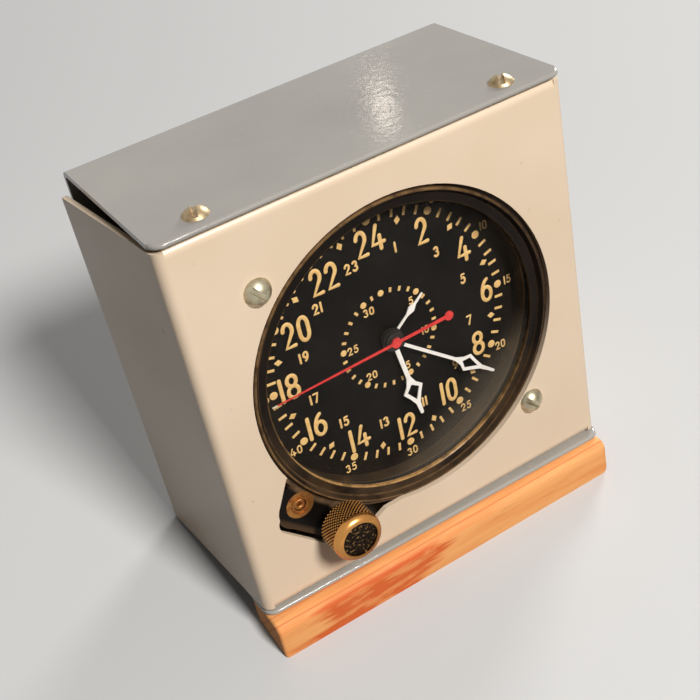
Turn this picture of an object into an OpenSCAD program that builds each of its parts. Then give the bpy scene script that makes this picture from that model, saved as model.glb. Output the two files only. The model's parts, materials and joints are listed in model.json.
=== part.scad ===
// Panel clock in a desk stand of folded sheet metal: an eight-day instrument with a
// 24-hour dial, a day-of-month hand and a sweep seconds hand, on a wooden foot.
// Most modules are drawn in the clock frame: x right, y up the panel, z out of the
// panel, with z = 0 on the panel's front face and the dial's centre at x = y = 0.

/* [Stand] */
// Width of the sheet-metal stand
stand_w = 100.8; // [96:0.2:120]
// Height of the front panel
panel_h = 100.6; // [97:0.2:120]
// Distance from the dial's centre up to the panel's top edge
top_margin = 49.3; // [47.5:0.1:52]
// Depth from the panel's front face to the inside of the back sheet
stand_d = 50.8; // [47:0.2:80]
// Thickness of the sheet metal
sheet_t = 1.3; // [0.8:0.1:1.6]
// Outer radius of the sheet's bends
bend_r = 2.4; // [2:0.1:3.5]
// Distance from the bottom screws to the rear edge of the panel's folded flanges
flange_edge = 5.4; // [4:0.1:12]
// Angle by which the left side has sprung outwards
side_flare = 3.2; // [0:0.1:5]
// How far the left side's top edge drops towards the back
side_drop = 3; // [0:0.1:5]
// Relief cut at the panel's corners
corner_relief = 0.8; // [0.4:0.1:1.5]
// How far the cover's top sheet stands out in front of the panel
top_lip = 0.6; // [0.3:0.1:3]
// How far the cover's bottom sheet stands out at the left end
bottom_lip_left = 0.5; // [0.3:0.1:3]
// How far the cover's bottom sheet stands out at the right end
bottom_lip_right = 2; // [0.3:0.1:4]
// Radius of the cover's front corners, in plan
cover_corner_r = 3; // [1:0.1:6]

/* [Wooden foot] */
// Height of the foot's front face
foot_h = 10; // [5:0.5:20]
// Depth of the foot, front to back
foot_d = 14; // [8:0.5:16]
// How far the foot stands out in front of the panel
foot_out = 4.8; // [2:0.2:8]
// Radius of the foot's corners, seen from the front
foot_corner_r = 1.6; // [0.5:0.1:2.4]

/* [Screws] */
// Distance of the cover screws from the middle
cover_screw_x = 37.9; // [20:0.1:42]
// Depth of the top cover screws behind the panel's front face
top_screw_back = 5.4; // [5:0.1:12]
// Gap between the foot and the heads of the bottom cover screws
foot_screw_gap = 1.9; // [0.5:0.1:5]
// Radius of the cover screws' domed heads
cover_head_r = 3; // [2.5:0.1:4.2]
// Height of the cover screws' heads
cover_head_h = 1.8; // [1:0.1:3]
// Radius of the round heads of the panel's two screws
mount_head_r = 3.3; // [2.6:0.1:4.2]
// Height of the round heads of the panel's two screws
mount_head_h = 2.4; // [1.5:0.1:3.2]
// Radius of the screws' shanks
shank_r = 1.6; // [1.2:0.1:1.9]
// Width of the screwdriver slots
slot_w = 1.3; // [0.8:0.1:1.5]
// Height of a slot's floor as a share of the head's height
slot_floor = 0.3; // [0.2:0.05:0.6]

/* [Instrument] */
// Distance from the rim out to the circle on which the panel screws lie
bolt_reach = 5.15; // [4.5:0.05:7]
// Outer diameter of the instrument's rim
rim_d = 78.6; // [75:0.1:84]
// Mean radial gap between the rim and the panel's cut-out
cutout_gap = 0.9; // [0.8:0.1:1.2]
// How far the middle of the cut-out lies to the right of the dial's centre
cutout_right = 0.6; // [0:0.05:0.6]
// How far the middle of the cut-out lies below the dial's centre
cutout_down = 0.45; // [0:0.05:0.45]
// How far the cut-out's window for the winding lug reaches beyond the stem
window_reach = 6.9; // [6.4:0.1:7.4]
// Radius of that window's round ends beside the insert and the stem
window_r = 6.2; // [6:0.1:6.4]
// Radius of that window's corner beside the insert
window_corner_r = 3.3; // [2.5:0.1:3.6]
// How far the rim stands out in front of the panel
rim_proud = 0.3; // [0:0.1:2]
// Radial wall of the rim outside the glass
rim_wall = 1.3; // [1:0.1:1.6]
// Thickness of the mounting flange
lug_t = 3.2; // [2:0.1:5]
// Radius of the three plain lugs
lug_r = 5.6; // [5:0.1:7]
// Radius of the round corners of the winding lug
wind_lug_r = 6.5; // [6.3:0.1:6.8]
// Angle between the diagonal and the winding stem, and between it and the odd insert
lug_split = 7.5; // [7:0.1:9]
// Distance from the rim out to the winding stem
stem_reach = 4.3; // [4:0.1:5]
// Outer radius of the threaded brass inserts
insert_r = 3.6; // [2.6:0.1:4.2]
// Depth of the dial's face behind the panel's front face
dial_depth = 8; // [7.6:0.1:9]
// Thickness of the dial
dial_t = 0.5; // [0.3:0.1:1]
// Width of the ledge under the edge of the glass
sight_ledge = 1.6; // [1.4:0.1:2.4]
// Thickness of the glass
glass_t = 2; // [1.2:0.1:2.2]
// Thickness of the gasket under the glass
gasket_t = 0.5; // [0.3:0.1:0.8]
// Height of the ring that holds the glass down
ring_h = 1; // [0.6:0.1:1.2]
// Depth of that ring's top below the panel's front face
ring_depth = 0.9; // [0.5:0.1:1.2]
// How far that ring reaches in over the glass beyond the ledge
ring_overlap = 0.8; // [0.2:0.1:1.2]
// Thickness of the instrument's back cover
case_back_t = 1.6; // [1:0.1:3]

/* [Winding knob] */
// Radius of the knurled knob
knob_r = 6.35; // [4.5:0.05:7]
// Length of the knob
knob_len = 7.9; // [6:0.1:12]
// Chamfer between the knurl and the knob's end face
knob_chamfer = 0.7; // [0.3:0.1:1.2]
// Radius of the knob's sunk end face
knob_recess_r = 4.6; // [3:0.1:5]
// Depth of the knob's sunk end face
knob_recess_d = 0.5; // [0.2:0.1:1]
// Gap between the panel's front face and the back of the knob
knob_stand_off = 2.5; // [1.5:0.1:5]
// Radius of the winding stem
stem_r = 1.5; // [1:0.05:1.8]
// Travel of the knob when it is pulled out to set the hands
pull_travel = 2.5; // [1:0.1:3]

/* [Hands] */
// Day of the month shown
show_day = 5; // [1:1:31]
// Hour shown on the 24-hour dial
show_hour = 11; // [0:1:23]
// Minute shown
show_minute = 21; // [0:1:59]
// Second shown
show_second = 44.8; // [0:0.2:59.8]
// Thickness of the hands
hand_t = 0.3; // [0.2:0.05:0.4]
// Height of one hand above the next
hand_step = 0.8; // [0.7:0.05:0.85]
// Gap between the minute hand's tip and the dial's edge
minute_margin = 2.9; // [1:0.1:12]
// Length of the hour hand
hour_len = 24.1; // [20:0.1:31]
// Gap between the seconds hand's tip and the dial's edge
seconds_margin = 2.9; // [1:0.1:12]
// Length of the day hand
day_len = 13; // [10:0.1:16]
// Length of the seconds hand's tail, to the middle of its disc
tail_len = 14.9; // [8:0.1:20]

/* [Movement] */
// Gear module of the centre and seconds wheels
train_module = 0.34; // [0.32:0.01:0.36]
// Gear module of the barrel and of the wheel it drives
power_module = 0.4; // [0.39:0.01:0.41]
// Gear module of the minute wheel behind the dial
motion_module = 0.35; // [0.32:0.01:0.38]
// Gear module of the day wheels behind the dial
day_module = 0.4; // [0.38:0.01:0.42]
// Gear module of the winding wheels
wind_module = 0.5; // [0.49:0.01:0.51]
// Play left on each flank of a tooth
tooth_play = 0.05; // [0.03:0.01:0.06]
// Thickness of the wheels behind the dial
motion_t = 0.8; // [0.5:0.1:1]
// Space between the wheels behind the dial
motion_gap = 0.35; // [0.3:0.05:0.6]
// Thickness of the wheels between the plates
train_t = 0.9; // [0.6:0.1:1.2]
// Space between the wheels between the plates
train_gap = 0.6; // [0.5:0.1:0.9]
// Thickness of the winding wheels
wind_t = 1.2; // [0.8:0.1:1.6]
// Thickness of the movement's plates
plate_t = 2; // [1.5:0.1:3]
// Height of the spring barrel
barrel_h = 8; // [7:0.1:10]
// Wall of the spring barrel
barrel_wall = 0.8; // [0.6:0.1:1.2]
// Radius of the seconds arbor
arbor_r = 0.5; // [0.4:0.05:0.6]
// Radius of the other arbors
stout_r = 0.8; // [0.6:0.05:0.9]
// Radius of the arbors' pivots
pivot_r = 0.4; // [0.25:0.05:0.5]
// Wall of the hands' tubes
tube_wall = 0.4; // [0.3:0.05:0.45]
// Radius of the escape wheel
escape_size = 4.6; // [4:0.1:5]
// Radius of the balance
balance_size = 6.6; // [5.6:0.1:6.8]
// Length of the click's spring, along the back plate
spring_span = 8; // [7:0.1:9]
// Height of the click above its spring's post
spring_drop = 2.2; // [2:0.05:2.4]
// Free depth between the winding wheels and the case's floor
floor_gap = 4; // [3.5:0.1:6]
// Dial opening for which the movement's sizes above are given; they follow the real one
drawn_sight_r = 36.4; // [34:0.1:39]

/* [Fits] */
// Radial running clearance of a shaft in its bore
run_gap = 0.05; // [0.02:0.01:0.08]
// Radial gap of a piece seated on its shaft
seat_gap = 0.01; // [0:0.005:0.02]
// Loose gap round a piece that drops into a bore
drop_gap = 0.1; // [0.05:0.01:0.2]
// Air left between a moving piece and what it passes
air_gap = 0.3; // [0.2:0.05:0.4]

/* [Hidden] */
$fn = 72;

CREAM = "#e6cfae";
GREY = "#9a9c98";
BLACK = "#1f1d1b";
BRASS = "#b08d4a";
STEEL = "#b9b7ae";
TIMBER = "#c4763c";
LUME = "#f4e9d6";
RED = "#d22a2e";
RUBY = "#a8203c";
BLUED = "#2f3d63";

// Small allowance that keeps a cut from ending flush with the face it leaves
cut = 0.5;

// Panel and cover edges in the clock frame
panel_top = top_margin;
panel_bottom = top_margin - panel_h;
panel_mid = (panel_top + panel_bottom) / 2;
cover_top = panel_top + sheet_t;
cover_bottom = panel_bottom - sheet_t;
half_w = stand_w / 2;
flat_w = stand_w - 2 * bend_r;
inner_bend_r = bend_r - sheet_t;
side_len = stand_d - bend_r - inner_bend_r - drop_gap;

// The stand leans until its back bend and the foot's front edge share the table
foot_top = cover_bottom;
lean_run = [bend_r + foot_h, bend_r - stand_d - sheet_t - foot_out];
lean = atan2(lean_run[1], lean_run[0]) + acos(bend_r / norm(lean_run));
base_z = -((cover_bottom - foot_h) * cos(lean) + foot_out * sin(lean));
foot_back = foot_out - foot_d;
bottom_screw_back = cover_head_r + foot_screw_gap - foot_back;
flange_d = bottom_screw_back + flange_edge;
base_y = -(table_run(foot_out) + table_run(foot_back)) / 2;
function table_y(z) = -(base_z + z * sin(lean)) / cos(lean);
function table_run(z) = table_y(z) * sin(lean) - z * cos(lean);

// Instrument radii, from the rim inwards
rim_r = rim_d / 2;
cutout_r = rim_r + cutout_gap;
glass_bore_r = rim_r - rim_wall;
glass_r = glass_bore_r - drop_gap;
sight_r = glass_bore_r - sight_ledge;
ledge_r = sight_r;
bolt_r = rim_r + bolt_reach;
stem_circle_r = rim_r + stem_reach;
minute_len = sight_r - minute_margin;
seconds_len = sight_r - seconds_margin;
insert_circle_r = stem_circle_r;
wind_dir = 225;
stem_dir = wind_dir + lug_split;
insert_dir = wind_dir - lug_split;
stem_pos = polar(stem_circle_r, stem_dir);
odd_insert_pos = polar(insert_circle_r, insert_dir);
plain_lugs = [for (a = [45, 135, 315]) polar(bolt_r, a)];
screw_lugs = [plain_lugs[1], plain_lugs[2]];
screw_slots = [-49, -40];
// Width of a lug's neck as a share of its round end
lug_neck = 0.96;
lug_front = -sheet_t;
lug_back = -sheet_t - lug_t;

// Levels behind the panel
dial_z = -dial_depth;
ring_top = -ring_depth;
glass_top = ring_top - ring_h;
gasket_top = glass_top - glass_t;
dial_ring_top = gasket_top - gasket_t;
plate_z = motion_z(4);
plate_back = plate_z - plate_t;
back_z = train_z(4) - barrel_h - train_gap;
back_plate_back = back_z - plate_t;
wind_z = back_plate_back - train_gap;
case_floor = wind_z - wind_t - floor_gap;
function motion_z(i) = dial_z - dial_t - motion_gap - i * (motion_t + motion_gap);
function train_z(i) = plate_back - train_gap - i * (train_t + train_gap);

// Sizes of the movement in plan, which follow the dial opening
movement_k = sight_r / drawn_sight_r;
train_m = movement_k * train_module;
power_m = movement_k * power_module;
motion_m = movement_k * motion_module;
day_m = movement_k * day_module;
wind_m = movement_k * wind_module;
escape_r = movement_k * escape_size;
balance_r = movement_k * balance_size;
barrel_circle_r = movement_k * 19.5;

// Tooth numbers of the going train, the dial work and the winding work
center_n = 80;
third_pinion_n = 10;
third_n = 75;
seconds_pinion_n = 10;
fourth_n = 80;
escape_pinion_n = 8;
center_pinion_n = 12;
intermediate_n = 66;
intermediate_pinion_n = 10;
barrel_n = 72;
cannon_n = 12;
minute_n = 48;
minute_pinion_n = 10;
hour_n = 60;
hour_pinion_n = 12;
day_idler_n = 62;
day_pinion_n = 10;
day_n = 60;
wind_pinion_n = 12;
idler_n = 40;
ratchet_n = 48;
escape_n = 15;
third_m = train_m * (center_n + third_pinion_n) / (third_n + seconds_pinion_n);
hour_m = motion_m * (cannon_n + minute_n) / (hour_n + minute_pinion_n);
day_wheel_m = day_m * (hour_pinion_n + day_idler_n) / (day_n + day_pinion_n);

// Tooth heights in modules: short on wheels, tall on pinions
wheel_add = 0.5;
wheel_ded = 1.25;
pinion_add = 0.9;
pinion_ded = 0.8;
pressure = 20;

// Places of the arbors, seen from the front
function spacing(m, a, b) = m * (a + b) / 2;
function polar(r, a) = [r * cos(a), r * sin(a)];
function bearing(from, to) = atan2(to[1] - from[1], to[0] - from[0]);
third_dir = 60;
escape_dir = 330;
minute_dir = 270;
day_dir = 90;
third_pos = polar(spacing(train_m, center_n, third_pinion_n), third_dir);
escape_pos = polar(spacing(train_m, fourth_n, escape_pinion_n), escape_dir);
minute_pos = polar(spacing(motion_m, cannon_n, minute_n), minute_dir);
day_pos = polar(spacing(day_m, hour_pinion_n, day_idler_n), day_dir);
idler_pos = polar(stem_circle_r - spacing(wind_m, wind_pinion_n, idler_n), stem_dir);
barrel_turn = triangle_angle(barrel_circle_r, norm(idler_pos), spacing(wind_m, idler_n, ratchet_n));
barrel_dir = stem_dir - barrel_turn;
barrel_pos = polar(barrel_circle_r, barrel_dir);
intermediate_run = spacing(power_m, center_pinion_n, intermediate_n);
intermediate_turn = triangle_angle(barrel_circle_r, intermediate_run,
    spacing(power_m, intermediate_pinion_n, barrel_n));
intermediate_pos = polar(intermediate_run, barrel_dir - intermediate_turn);
function triangle_angle(a, b, opposite) = acos((a * a + b * b - opposite * opposite) / (2 * a * b));
lever_half = 42;
lever_run = escape_r / cos(lever_half);
lever_pos = polar(norm(escape_pos) + lever_run, escape_dir);
roller_r = 1.9;
pallet_r = 0.6;
fork_len = balance_r + pallet_r + air_gap - roller_r;
balance_pos = polar(norm(lever_pos) + fork_len + roller_r, escape_dir);
back_plate_r = sight_r - 1.9;
pillar_r = 2.4;
pillar_pos = [for (a = [18, 96, 148, 262]) polar(back_plate_r - pillar_r - 0.7, a)];

// Concentric tubes under the hands, from the seconds arbor outwards
center_bore_r = arbor_r + run_gap;
center_tube_r = center_bore_r + tube_wall;
cannon_bore_r = center_tube_r + seat_gap;
cannon_tube_r = cannon_bore_r + tube_wall;
hour_bore_r = cannon_tube_r + run_gap;
hour_tube_r = hour_bore_r + tube_wall;
day_bore_r = hour_tube_r + run_gap;
day_tube_r = day_bore_r + tube_wall;
dial_hole_r = day_tube_r + air_gap;

// Undersides of the hands, from the dial outwards
function hand_z(i) = dial_z + hand_step * (i + 1) - hand_t;
hub_r = day_tube_r + 0.6;

// Clock-face angles of the hands, clockwise from the top
minute_face = (show_minute + show_second / 60) * 6;
hour_face = (show_hour + show_minute / 60 + show_second / 3600) * 15;
seconds_face = show_second * 6;
day_face = (show_day - 1 + hour_face / 360) * 360 / 31;

// Case parts
movement_r = glass_bore_r - drop_gap;
bearing_t = 2.4;
stem_tail = wind_z - wind_t - pull_travel - air_gap;
boss_end = stem_tail - bearing_t - pull_travel;
boss_r = 5.2;
boss_bore_r = 3.9;
bush_r = stem_r + run_gap + 1.3;
back_screw_dirs = [for (i = [0:5]) 30 + i * 60];
back_screw_circle = (rim_r + ledge_r) / 2;
end_shake = 0.15;
spoke_w = 1.2;
rim_w = 1.3;
hub_w = 1.6;
head_r = 2;
head_h = 1.1;
screw_r = 0.9;
collar_t = 1;
collar_r = 2.6;
sleeve_top = lug_back - pull_travel - collar_t - run_gap - air_gap;
sleeve_len = 4;
sleeve_r = 3;
cock_t = 1.6;
regulator_t = 0.6;
lever_t = train_t;
balance_t = 1.2;
balance_z = train_z(4) - train_t - 1.4;
hairspring_z = balance_z - balance_t - 1;

// Frames
module in_clock() {
    translate([0, base_y, base_z])
        rotate([90 - lean, 0, 0])
            children();
}
module at_level(pos, z) {
    translate([pos[0], pos[1], z])
        children();
}
module down(h, r) {
    translate([0, 0, -h])
        cylinder(h = h, r = r);
}
module ring_down(h, r_out, r_in) {
    translate([0, 0, -h])
        linear_extrude(h)
            difference() {
                circle(r_out);
                circle(r_in);
            }
}

// Involute teeth
function involute(a) = tan(a) * 180 / PI - a;
function flank(r, rp, n) =
    let (base = rp * cos(pressure), a = r > base ? acos(base / r) : 0)
    90 / n - tooth_play / rp * 180 / PI + involute(pressure) - involute(a);
function gear_points(n, m, add, ded, phase) =
    let (rp = n * m / 2, radii = [rp - ded * m, rp, rp + add * m])
    [for (i = [0:n - 1], k = [0:5])
        let (r = radii[min(k, 5 - k)], side = k < 3 ? -1 : 1)
        polar(r, phase + i * 360 / n + side * flank(r, rp, n))];
// Phase that puts a gear of n2 teeth in mesh with one of n1 teeth lying the other way
function mesh_phase(dir, n1, phase1, n2) =
    dir + 180 - (0.5 - (dir - phase1) * n1 / 360) * 360 / n2;
module pinion_shape(n, m, phase) {
    polygon(gear_points(n, m, pinion_add, pinion_ded, phase));
}
module wheel_shape(n, m, phase) {
    polygon(gear_points(n, m, wheel_add, wheel_ded, phase));
}
module spoke_windows(rim_in, hub_out, spokes) {
    difference() {
        circle(rim_in);
        circle(hub_out);
        for (i = [0:spokes - 1])
            rotate(i * 360 / spokes)
                translate([0, -spoke_w / 2])
                    square([rim_in + cut, spoke_w]);
    }
}
module spoked_wheel(n, m, phase, t, bore) {
    translate([0, 0, -t])
        linear_extrude(t)
            difference() {
                wheel_shape(n, m, phase);
                spoke_windows(n * m / 2 - wheel_ded * m - rim_w, bore + hub_w, 5);
                circle(bore);
            }
}
module pinion(n, m, phase, t, bore) {
    translate([0, 0, -t])
        linear_extrude(t)
            difference() {
                pinion_shape(n, m, phase);
                circle(bore);
            }
}
// Arbor between the plates with a pivot at each end
module arbor(r) {
    translate([0, 0, plate_back - end_shake])
        down(plate_back - back_z - 2 * end_shake, r);
    translate([0, 0, plate_z])
        down(plate_z - back_plate_back, pivot_r);
}
// Domed screw, head up, seated at z = 0
module dome_screw(r, h, shank_len, slot_dir) {
    dome_r = (r * r + h * h) / (2 * h);
    difference() {
        union() {
            intersection() {
                translate([0, 0, h - dome_r])
                    sphere(dome_r);
                cylinder(h = h + cut, r = r + cut);
            }
            down(shank_len, shank_r);
        }
        rotate(slot_dir)
            translate([-r - cut, -slot_w / 2, h * slot_floor])
                cube([2 * (r + cut), slot_w, h]);
    }
}
// Flat-headed movement screw, head up, seated at z = 0
module plate_screw(shank_len) {
    difference() {
        union() {
            cylinder(h = head_h, r = head_r);
            down(shank_len, screw_r);
        }
        translate([-head_r - cut, -slot_w / 4, head_h / 2])
            cube([2 * (head_r + cut), slot_w / 2, head_h]);
    }
}

// Folded sheet: a bend of the given angle, then a flat leaf
module bend(angle, len) {
    rotate_extrude(angle = angle)
        translate([inner_bend_r, 0])
            square([sheet_t, len]);
}
module side_fold(flare, drop) {
    len = panel_h - 2 * corner_relief;
    sag = drop / 3;
    translate([half_w - bend_r, panel_top - corner_relief, -bend_r])
        rotate([90, 0, 0])
            rotate([0, 0, flare]) {
                bend(90 - flare, len);
                translate([inner_bend_r, 0, 0])
                    rotate([90, 0, 90])
                        linear_extrude(sheet_t)
                            polygon([[0, 0], [-side_len, drop], [-side_len, len + sag], [0, len]]);
            }
}
module flange_fold(reach) {
    translate([-flat_w / 2, reach - bend_r, -bend_r])
        rotate([90, 0, 90])
            bend(90, flat_w);
    translate([-flat_w / 2, reach - sheet_t, -flange_d])
        cube([flat_w, sheet_t, flange_d - bend_r]);
}
module winding_lug_shape(r) {
    mid = polar(stem_circle_r * cos(lug_split), wind_dir);
    half = stem_circle_r * sin(lug_split);
    translate(stem_pos)
        circle(r);
    translate(odd_insert_pos)
        circle(r);
    translate(mid)
        rotate(wind_dir)
            translate([-stem_circle_r / 2, -half])
                square([stem_circle_r / 2 + lug_neck * r, 2 * half]);
}
// Cut by hand a little off the middle, and opened further beside the knob
module panel_cutout() {
    flare_dir = stem_dir + 15;
    half = stem_circle_r * sin(lug_split);
    window_end = stem_circle_r + window_reach;
    window_start = stem_circle_r / 2;
    corner = [window_end - window_corner_r, -half - cutout_gap];
    translate([cutout_right, -cutout_down])
        circle(cutout_r);
    winding_lug_shape(window_r);
    rotate(wind_dir)
        polygon(concat([[window_start, -half]], arc(corner, window_corner_r, -90, 0),
            [[window_end, half], [window_start, half]]));
    polygon([[0, 0], stem_pos, polar(stem_circle_r + cutout_gap, flare_dir),
        polar(cutout_r + 2 * cutout_gap, flare_dir + 3), polar(cutout_r, flare_dir + 12)]);
    polygon([[0, 0], polar(cutout_r, insert_dir - 13), odd_insert_pos + polar(window_r, 158),
        odd_insert_pos]);
}
module cover_screw_holes(y, back) {
    for (s = [-1, 1])
        translate([s * cover_screw_x, y, -back])
            rotate([90, 0, 0])
                cylinder(h = 8 * sheet_t, r = shank_r + drop_gap, center = true);
}
module front_shell() {
    color(CREAM)
        in_clock()
            difference() {
                union() {
                    translate([-flat_w / 2, panel_bottom + bend_r, -sheet_t])
                        cube([flat_w, panel_h - 2 * bend_r, sheet_t]);
                    side_fold(0, 0);
                    mirror([1, 0, 0])
                        side_fold(side_flare, side_drop);
                    translate([0, panel_mid, 0])
                        for (m = [0, 1])
                            mirror([0, m, 0])
                                flange_fold(panel_h / 2);
                }
                translate([0, 0, -sheet_t - cut])
                    linear_extrude(sheet_t + 2 * cut)
                        panel_cutout();
                for (p = screw_lugs)
                    at_level(p, -sheet_t - cut)
                        cylinder(h = sheet_t + 2 * cut, r = shank_r + drop_gap);
                cover_screw_holes(panel_top, top_screw_back);
                cover_screw_holes(panel_bottom, bottom_screw_back);
            }
}

// Bent strip of the cover, as its edge is seen from the side: [y, z] points
function arc(mid, r, from, to) =
    [for (i = [0:24]) mid + polar(r, from + (to - from) * i / 24)];
module cover_strip(front) {
    rear = bend_r - stand_d - sheet_t;
    top_mid = [cover_top - bend_r, rear];
    low_mid = [cover_bottom + bend_r, rear];
    polygon(concat([[cover_top, front]], arc(top_mid, bend_r, 0, -90), arc(low_mid, bend_r, -90, -180),
        [[cover_bottom, front], [panel_bottom, front]], arc(low_mid, inner_bend_r, -180, -90),
        arc(top_mid, inner_bend_r, -90, 0), [[panel_top, front]]));
}
// Front of a cover sheet, in plan, with a rounded edge from left to right
module cover_lip(front_left, front_right) {
    r = cover_corner_r;
    edge = sheet_t / 2;
    left = [r - half_w, front_left - r];
    right = [half_w - r, front_right - r];
    skew = bearing(left, right);
    out = polar(r - edge, skew + 90);
    linear_extrude(sheet_t)
        polygon([[-half_w, -flange_d], [half_w, -flange_d], [half_w, right[1]], right + out,
            left + out, [-half_w, left[1]]]);
    for (c = [left, right])
        translate(c)
            rotate_extrude() {
                square([r - edge, sheet_t]);
                translate([r - edge, edge])
                    intersection() {
                        circle(edge);
                        translate([0, -edge])
                            square([edge, sheet_t]);
                    }
            }
    translate([left[0] + out[0], left[1] + out[1], edge])
        rotate([0, 90, skew])
            cylinder(h = norm(right - left), r = edge);
}
module wrap_cover() {
    strip_front = min(top_lip, bottom_lip_left, bottom_lip_right) - cover_corner_r - cut;
    color(GREY)
        in_clock()
            difference() {
                union() {
                    translate([-half_w, 0, 0])
                        rotate([90, 0, 90])
                            linear_extrude(stand_w)
                                cover_strip(strip_front);
                    translate([0, cover_top, 0])
                        rotate([90, 0, 0])
                            cover_lip(top_lip, top_lip);
                    translate([0, panel_bottom, 0])
                        rotate([90, 0, 0])
                            cover_lip(bottom_lip_left, bottom_lip_right);
                }
                cover_screw_holes(cover_top, top_screw_back);
                cover_screw_holes(cover_bottom, bottom_screw_back);
            }
}

module wood_foot() {
    edge = 0.8;
    color(TIMBER)
        in_clock()
            intersection() {
                translate([-half_w, 0, 0])
                    rotate([90, 0, 90])
                        linear_extrude(stand_w)
                            polygon([[foot_top, foot_back], [table_y(foot_back), foot_back],
                                [table_y(foot_out - edge), foot_out - edge],
                                [table_y(foot_out) + edge, foot_out],
                                [foot_top - edge, foot_out], [foot_top, foot_out - edge]]);
                translate([0, 0, foot_back - cut])
                    linear_extrude(foot_d + 2 * cut) {
                        low = table_y(foot_out) - foot_h;
                        for (s = [-1, 1])
                            translate([s * (half_w - foot_corner_r), foot_top - foot_corner_r])
                                circle(foot_corner_r);
                        translate([-half_w, low])
                            square([stand_w, foot_top - foot_corner_r - low]);
                        translate([foot_corner_r - half_w, low])
                            square([stand_w - 2 * foot_corner_r, foot_top - low]);
                    }
            }
}

module cover_screws() {
    slots = [68, 65];
    color(BRASS)
        in_clock()
            for (i = [0, 1], up = [0, 1])
                translate([(2 * i - 1) * cover_screw_x, up ? cover_top : cover_bottom,
                        up ? -top_screw_back : -bottom_screw_back])
                    rotate([up ? -90 : 90, 0, 0])
                        dome_screw(cover_head_r, cover_head_h, 5 * sheet_t, slots[i]);
}
module mount_screws() {
    color(STEEL)
        in_clock()
            for (i = [0, 1])
                at_level(screw_lugs[i], 0)
                    dome_screw(mount_head_r, mount_head_h, sheet_t + lug_t, screw_slots[i]);
}

// Case with its rim, mounting lugs, stem tunnel and the bulge over the winding idler
module idler_bulge(wall) {
    tip_r = idler_n * wind_m / 2 + wheel_add * wind_m;
    half = tip_r - 0.4 + wall;
    reach = norm(idler_pos) + tip_r + air_gap + wall;
    high = wind_t + 2 * (air_gap + wall);
    rotate(stem_dir)
        translate([norm(idler_pos), -half, wind_z + air_gap + wall - high])
            cube([reach - norm(idler_pos), 2 * half, high]);
}
module lug_outline() {
    circle(rim_r + 1.6);
    for (p = plain_lugs) {
        translate(p)
            circle(lug_r);
        rotate(bearing([0, 0], p))
            translate([0, -lug_neck * lug_r])
                square([bolt_r, 2 * lug_neck * lug_r]);
    }
    winding_lug_shape(wind_lug_r);
}
module instrument_case() {
    rim_top = rim_proud;
    color(BLACK)
        in_clock()
            difference() {
                union() {
                    translate([0, 0, rim_top])
                        down(rim_top - case_floor, rim_r);
                    translate([0, 0, lug_back])
                        linear_extrude(lug_t)
                            lug_outline();
                    at_level(stem_pos, lug_back)
                        down(lug_back - boss_end, boss_r);
                    idler_bulge(1.2);
                }
                translate([0, 0, rim_top + cut])
                    down(rim_top + cut - plate_back, glass_bore_r);
                translate([0, 0, plate_back + cut])
                    down(plate_back + cut - case_floor + cut, ledge_r);
                rotate_extrude()
                    polygon([[glass_bore_r - cut, ring_top], [glass_bore_r, ring_top],
                        [glass_bore_r + rim_wall * 0.45, rim_top],
                        [glass_bore_r + rim_wall * 0.45, rim_top + cut],
                        [glass_bore_r - cut, rim_top + cut]]);
                rotate_extrude()
                    polygon([[rim_r - rim_wall * 0.2, rim_top + cut], [rim_r - rim_wall * 0.2, rim_top],
                        [rim_r, rim_top - rim_wall * 0.3], [rim_r + cut, rim_top - rim_wall * 0.3],
                        [rim_r + cut, rim_top + cut]]);
                for (p = plain_lugs)
                    at_level(p, lug_front + cut)
                        down(lug_t + 2 * cut, insert_r);
                at_level(odd_insert_pos, lug_front + cut)
                    down(lug_t + 2 * cut, insert_r);
                at_level(stem_pos, lug_front + cut)
                    down(lug_t + 2 * cut, bush_r);
                at_level(stem_pos, lug_back)
                    down(lug_back - stem_tail, boss_bore_r);
                at_level(stem_pos, stem_tail + cut)
                    down(stem_tail - boss_end + 2 * cut, stem_r + run_gap);
                idler_bulge(0);
                for (a = back_screw_dirs)
                    at_level(polar(back_screw_circle, a), case_floor - cut)
                        cylinder(h = 5 + cut, r = screw_r + seat_gap);
            }
}

module flange_inserts() {
    bore = shank_r + seat_gap;
    color(BRASS)
        in_clock()
            for (p = concat(plain_lugs, [odd_insert_pos]))
                at_level(p, lug_front)
                    difference() {
                        down(lug_t, insert_r);
                        translate([0, 0, cut])
                            down(lug_t + 2 * cut, bore);
                        if (p == odd_insert_pos)
                            translate([0, 0, -0.25])
                                linear_extrude(1)
                                    difference() {
                                        circle(bore + 0.9);
                                        circle(bore + 0.45);
                                    }
                    }
}
module bezel_ring() {
    inner = sight_r - ring_overlap;
    color(BLACK)
        in_clock()
            rotate_extrude()
                polygon([[inner, glass_top], [glass_r, glass_top], [glass_r, ring_top],
                    [inner + ring_h / 4, ring_top], [inner, ring_top - ring_h / 4]]);
}
module crystal() {
    color("#d8e4e6", 0.3)
        in_clock()
            translate([0, 0, glass_top])
                down(glass_t, glass_r);
}
module crystal_gasket() {
    color(BLACK)
        in_clock()
            translate([0, 0, gasket_top])
                ring_down(gasket_t, glass_r, sight_r + 0.1);
}
module dial_ring() {
    color(BRASS)
        in_clock()
            translate([0, 0, dial_ring_top])
                ring_down(dial_ring_top - dial_z, glass_r, sight_r);
}
module dial() {
    color(BLACK)
        in_clock()
            translate([0, 0, dial_z])
                ring_down(dial_t, glass_r, dial_hole_r);
}
module dial_spacer() {
    color(BRASS)
        in_clock()
            translate([0, 0, dial_z - dial_t])
                ring_down(dial_z - dial_t - plate_z, movement_r, movement_r - 2.4);
}
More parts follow.
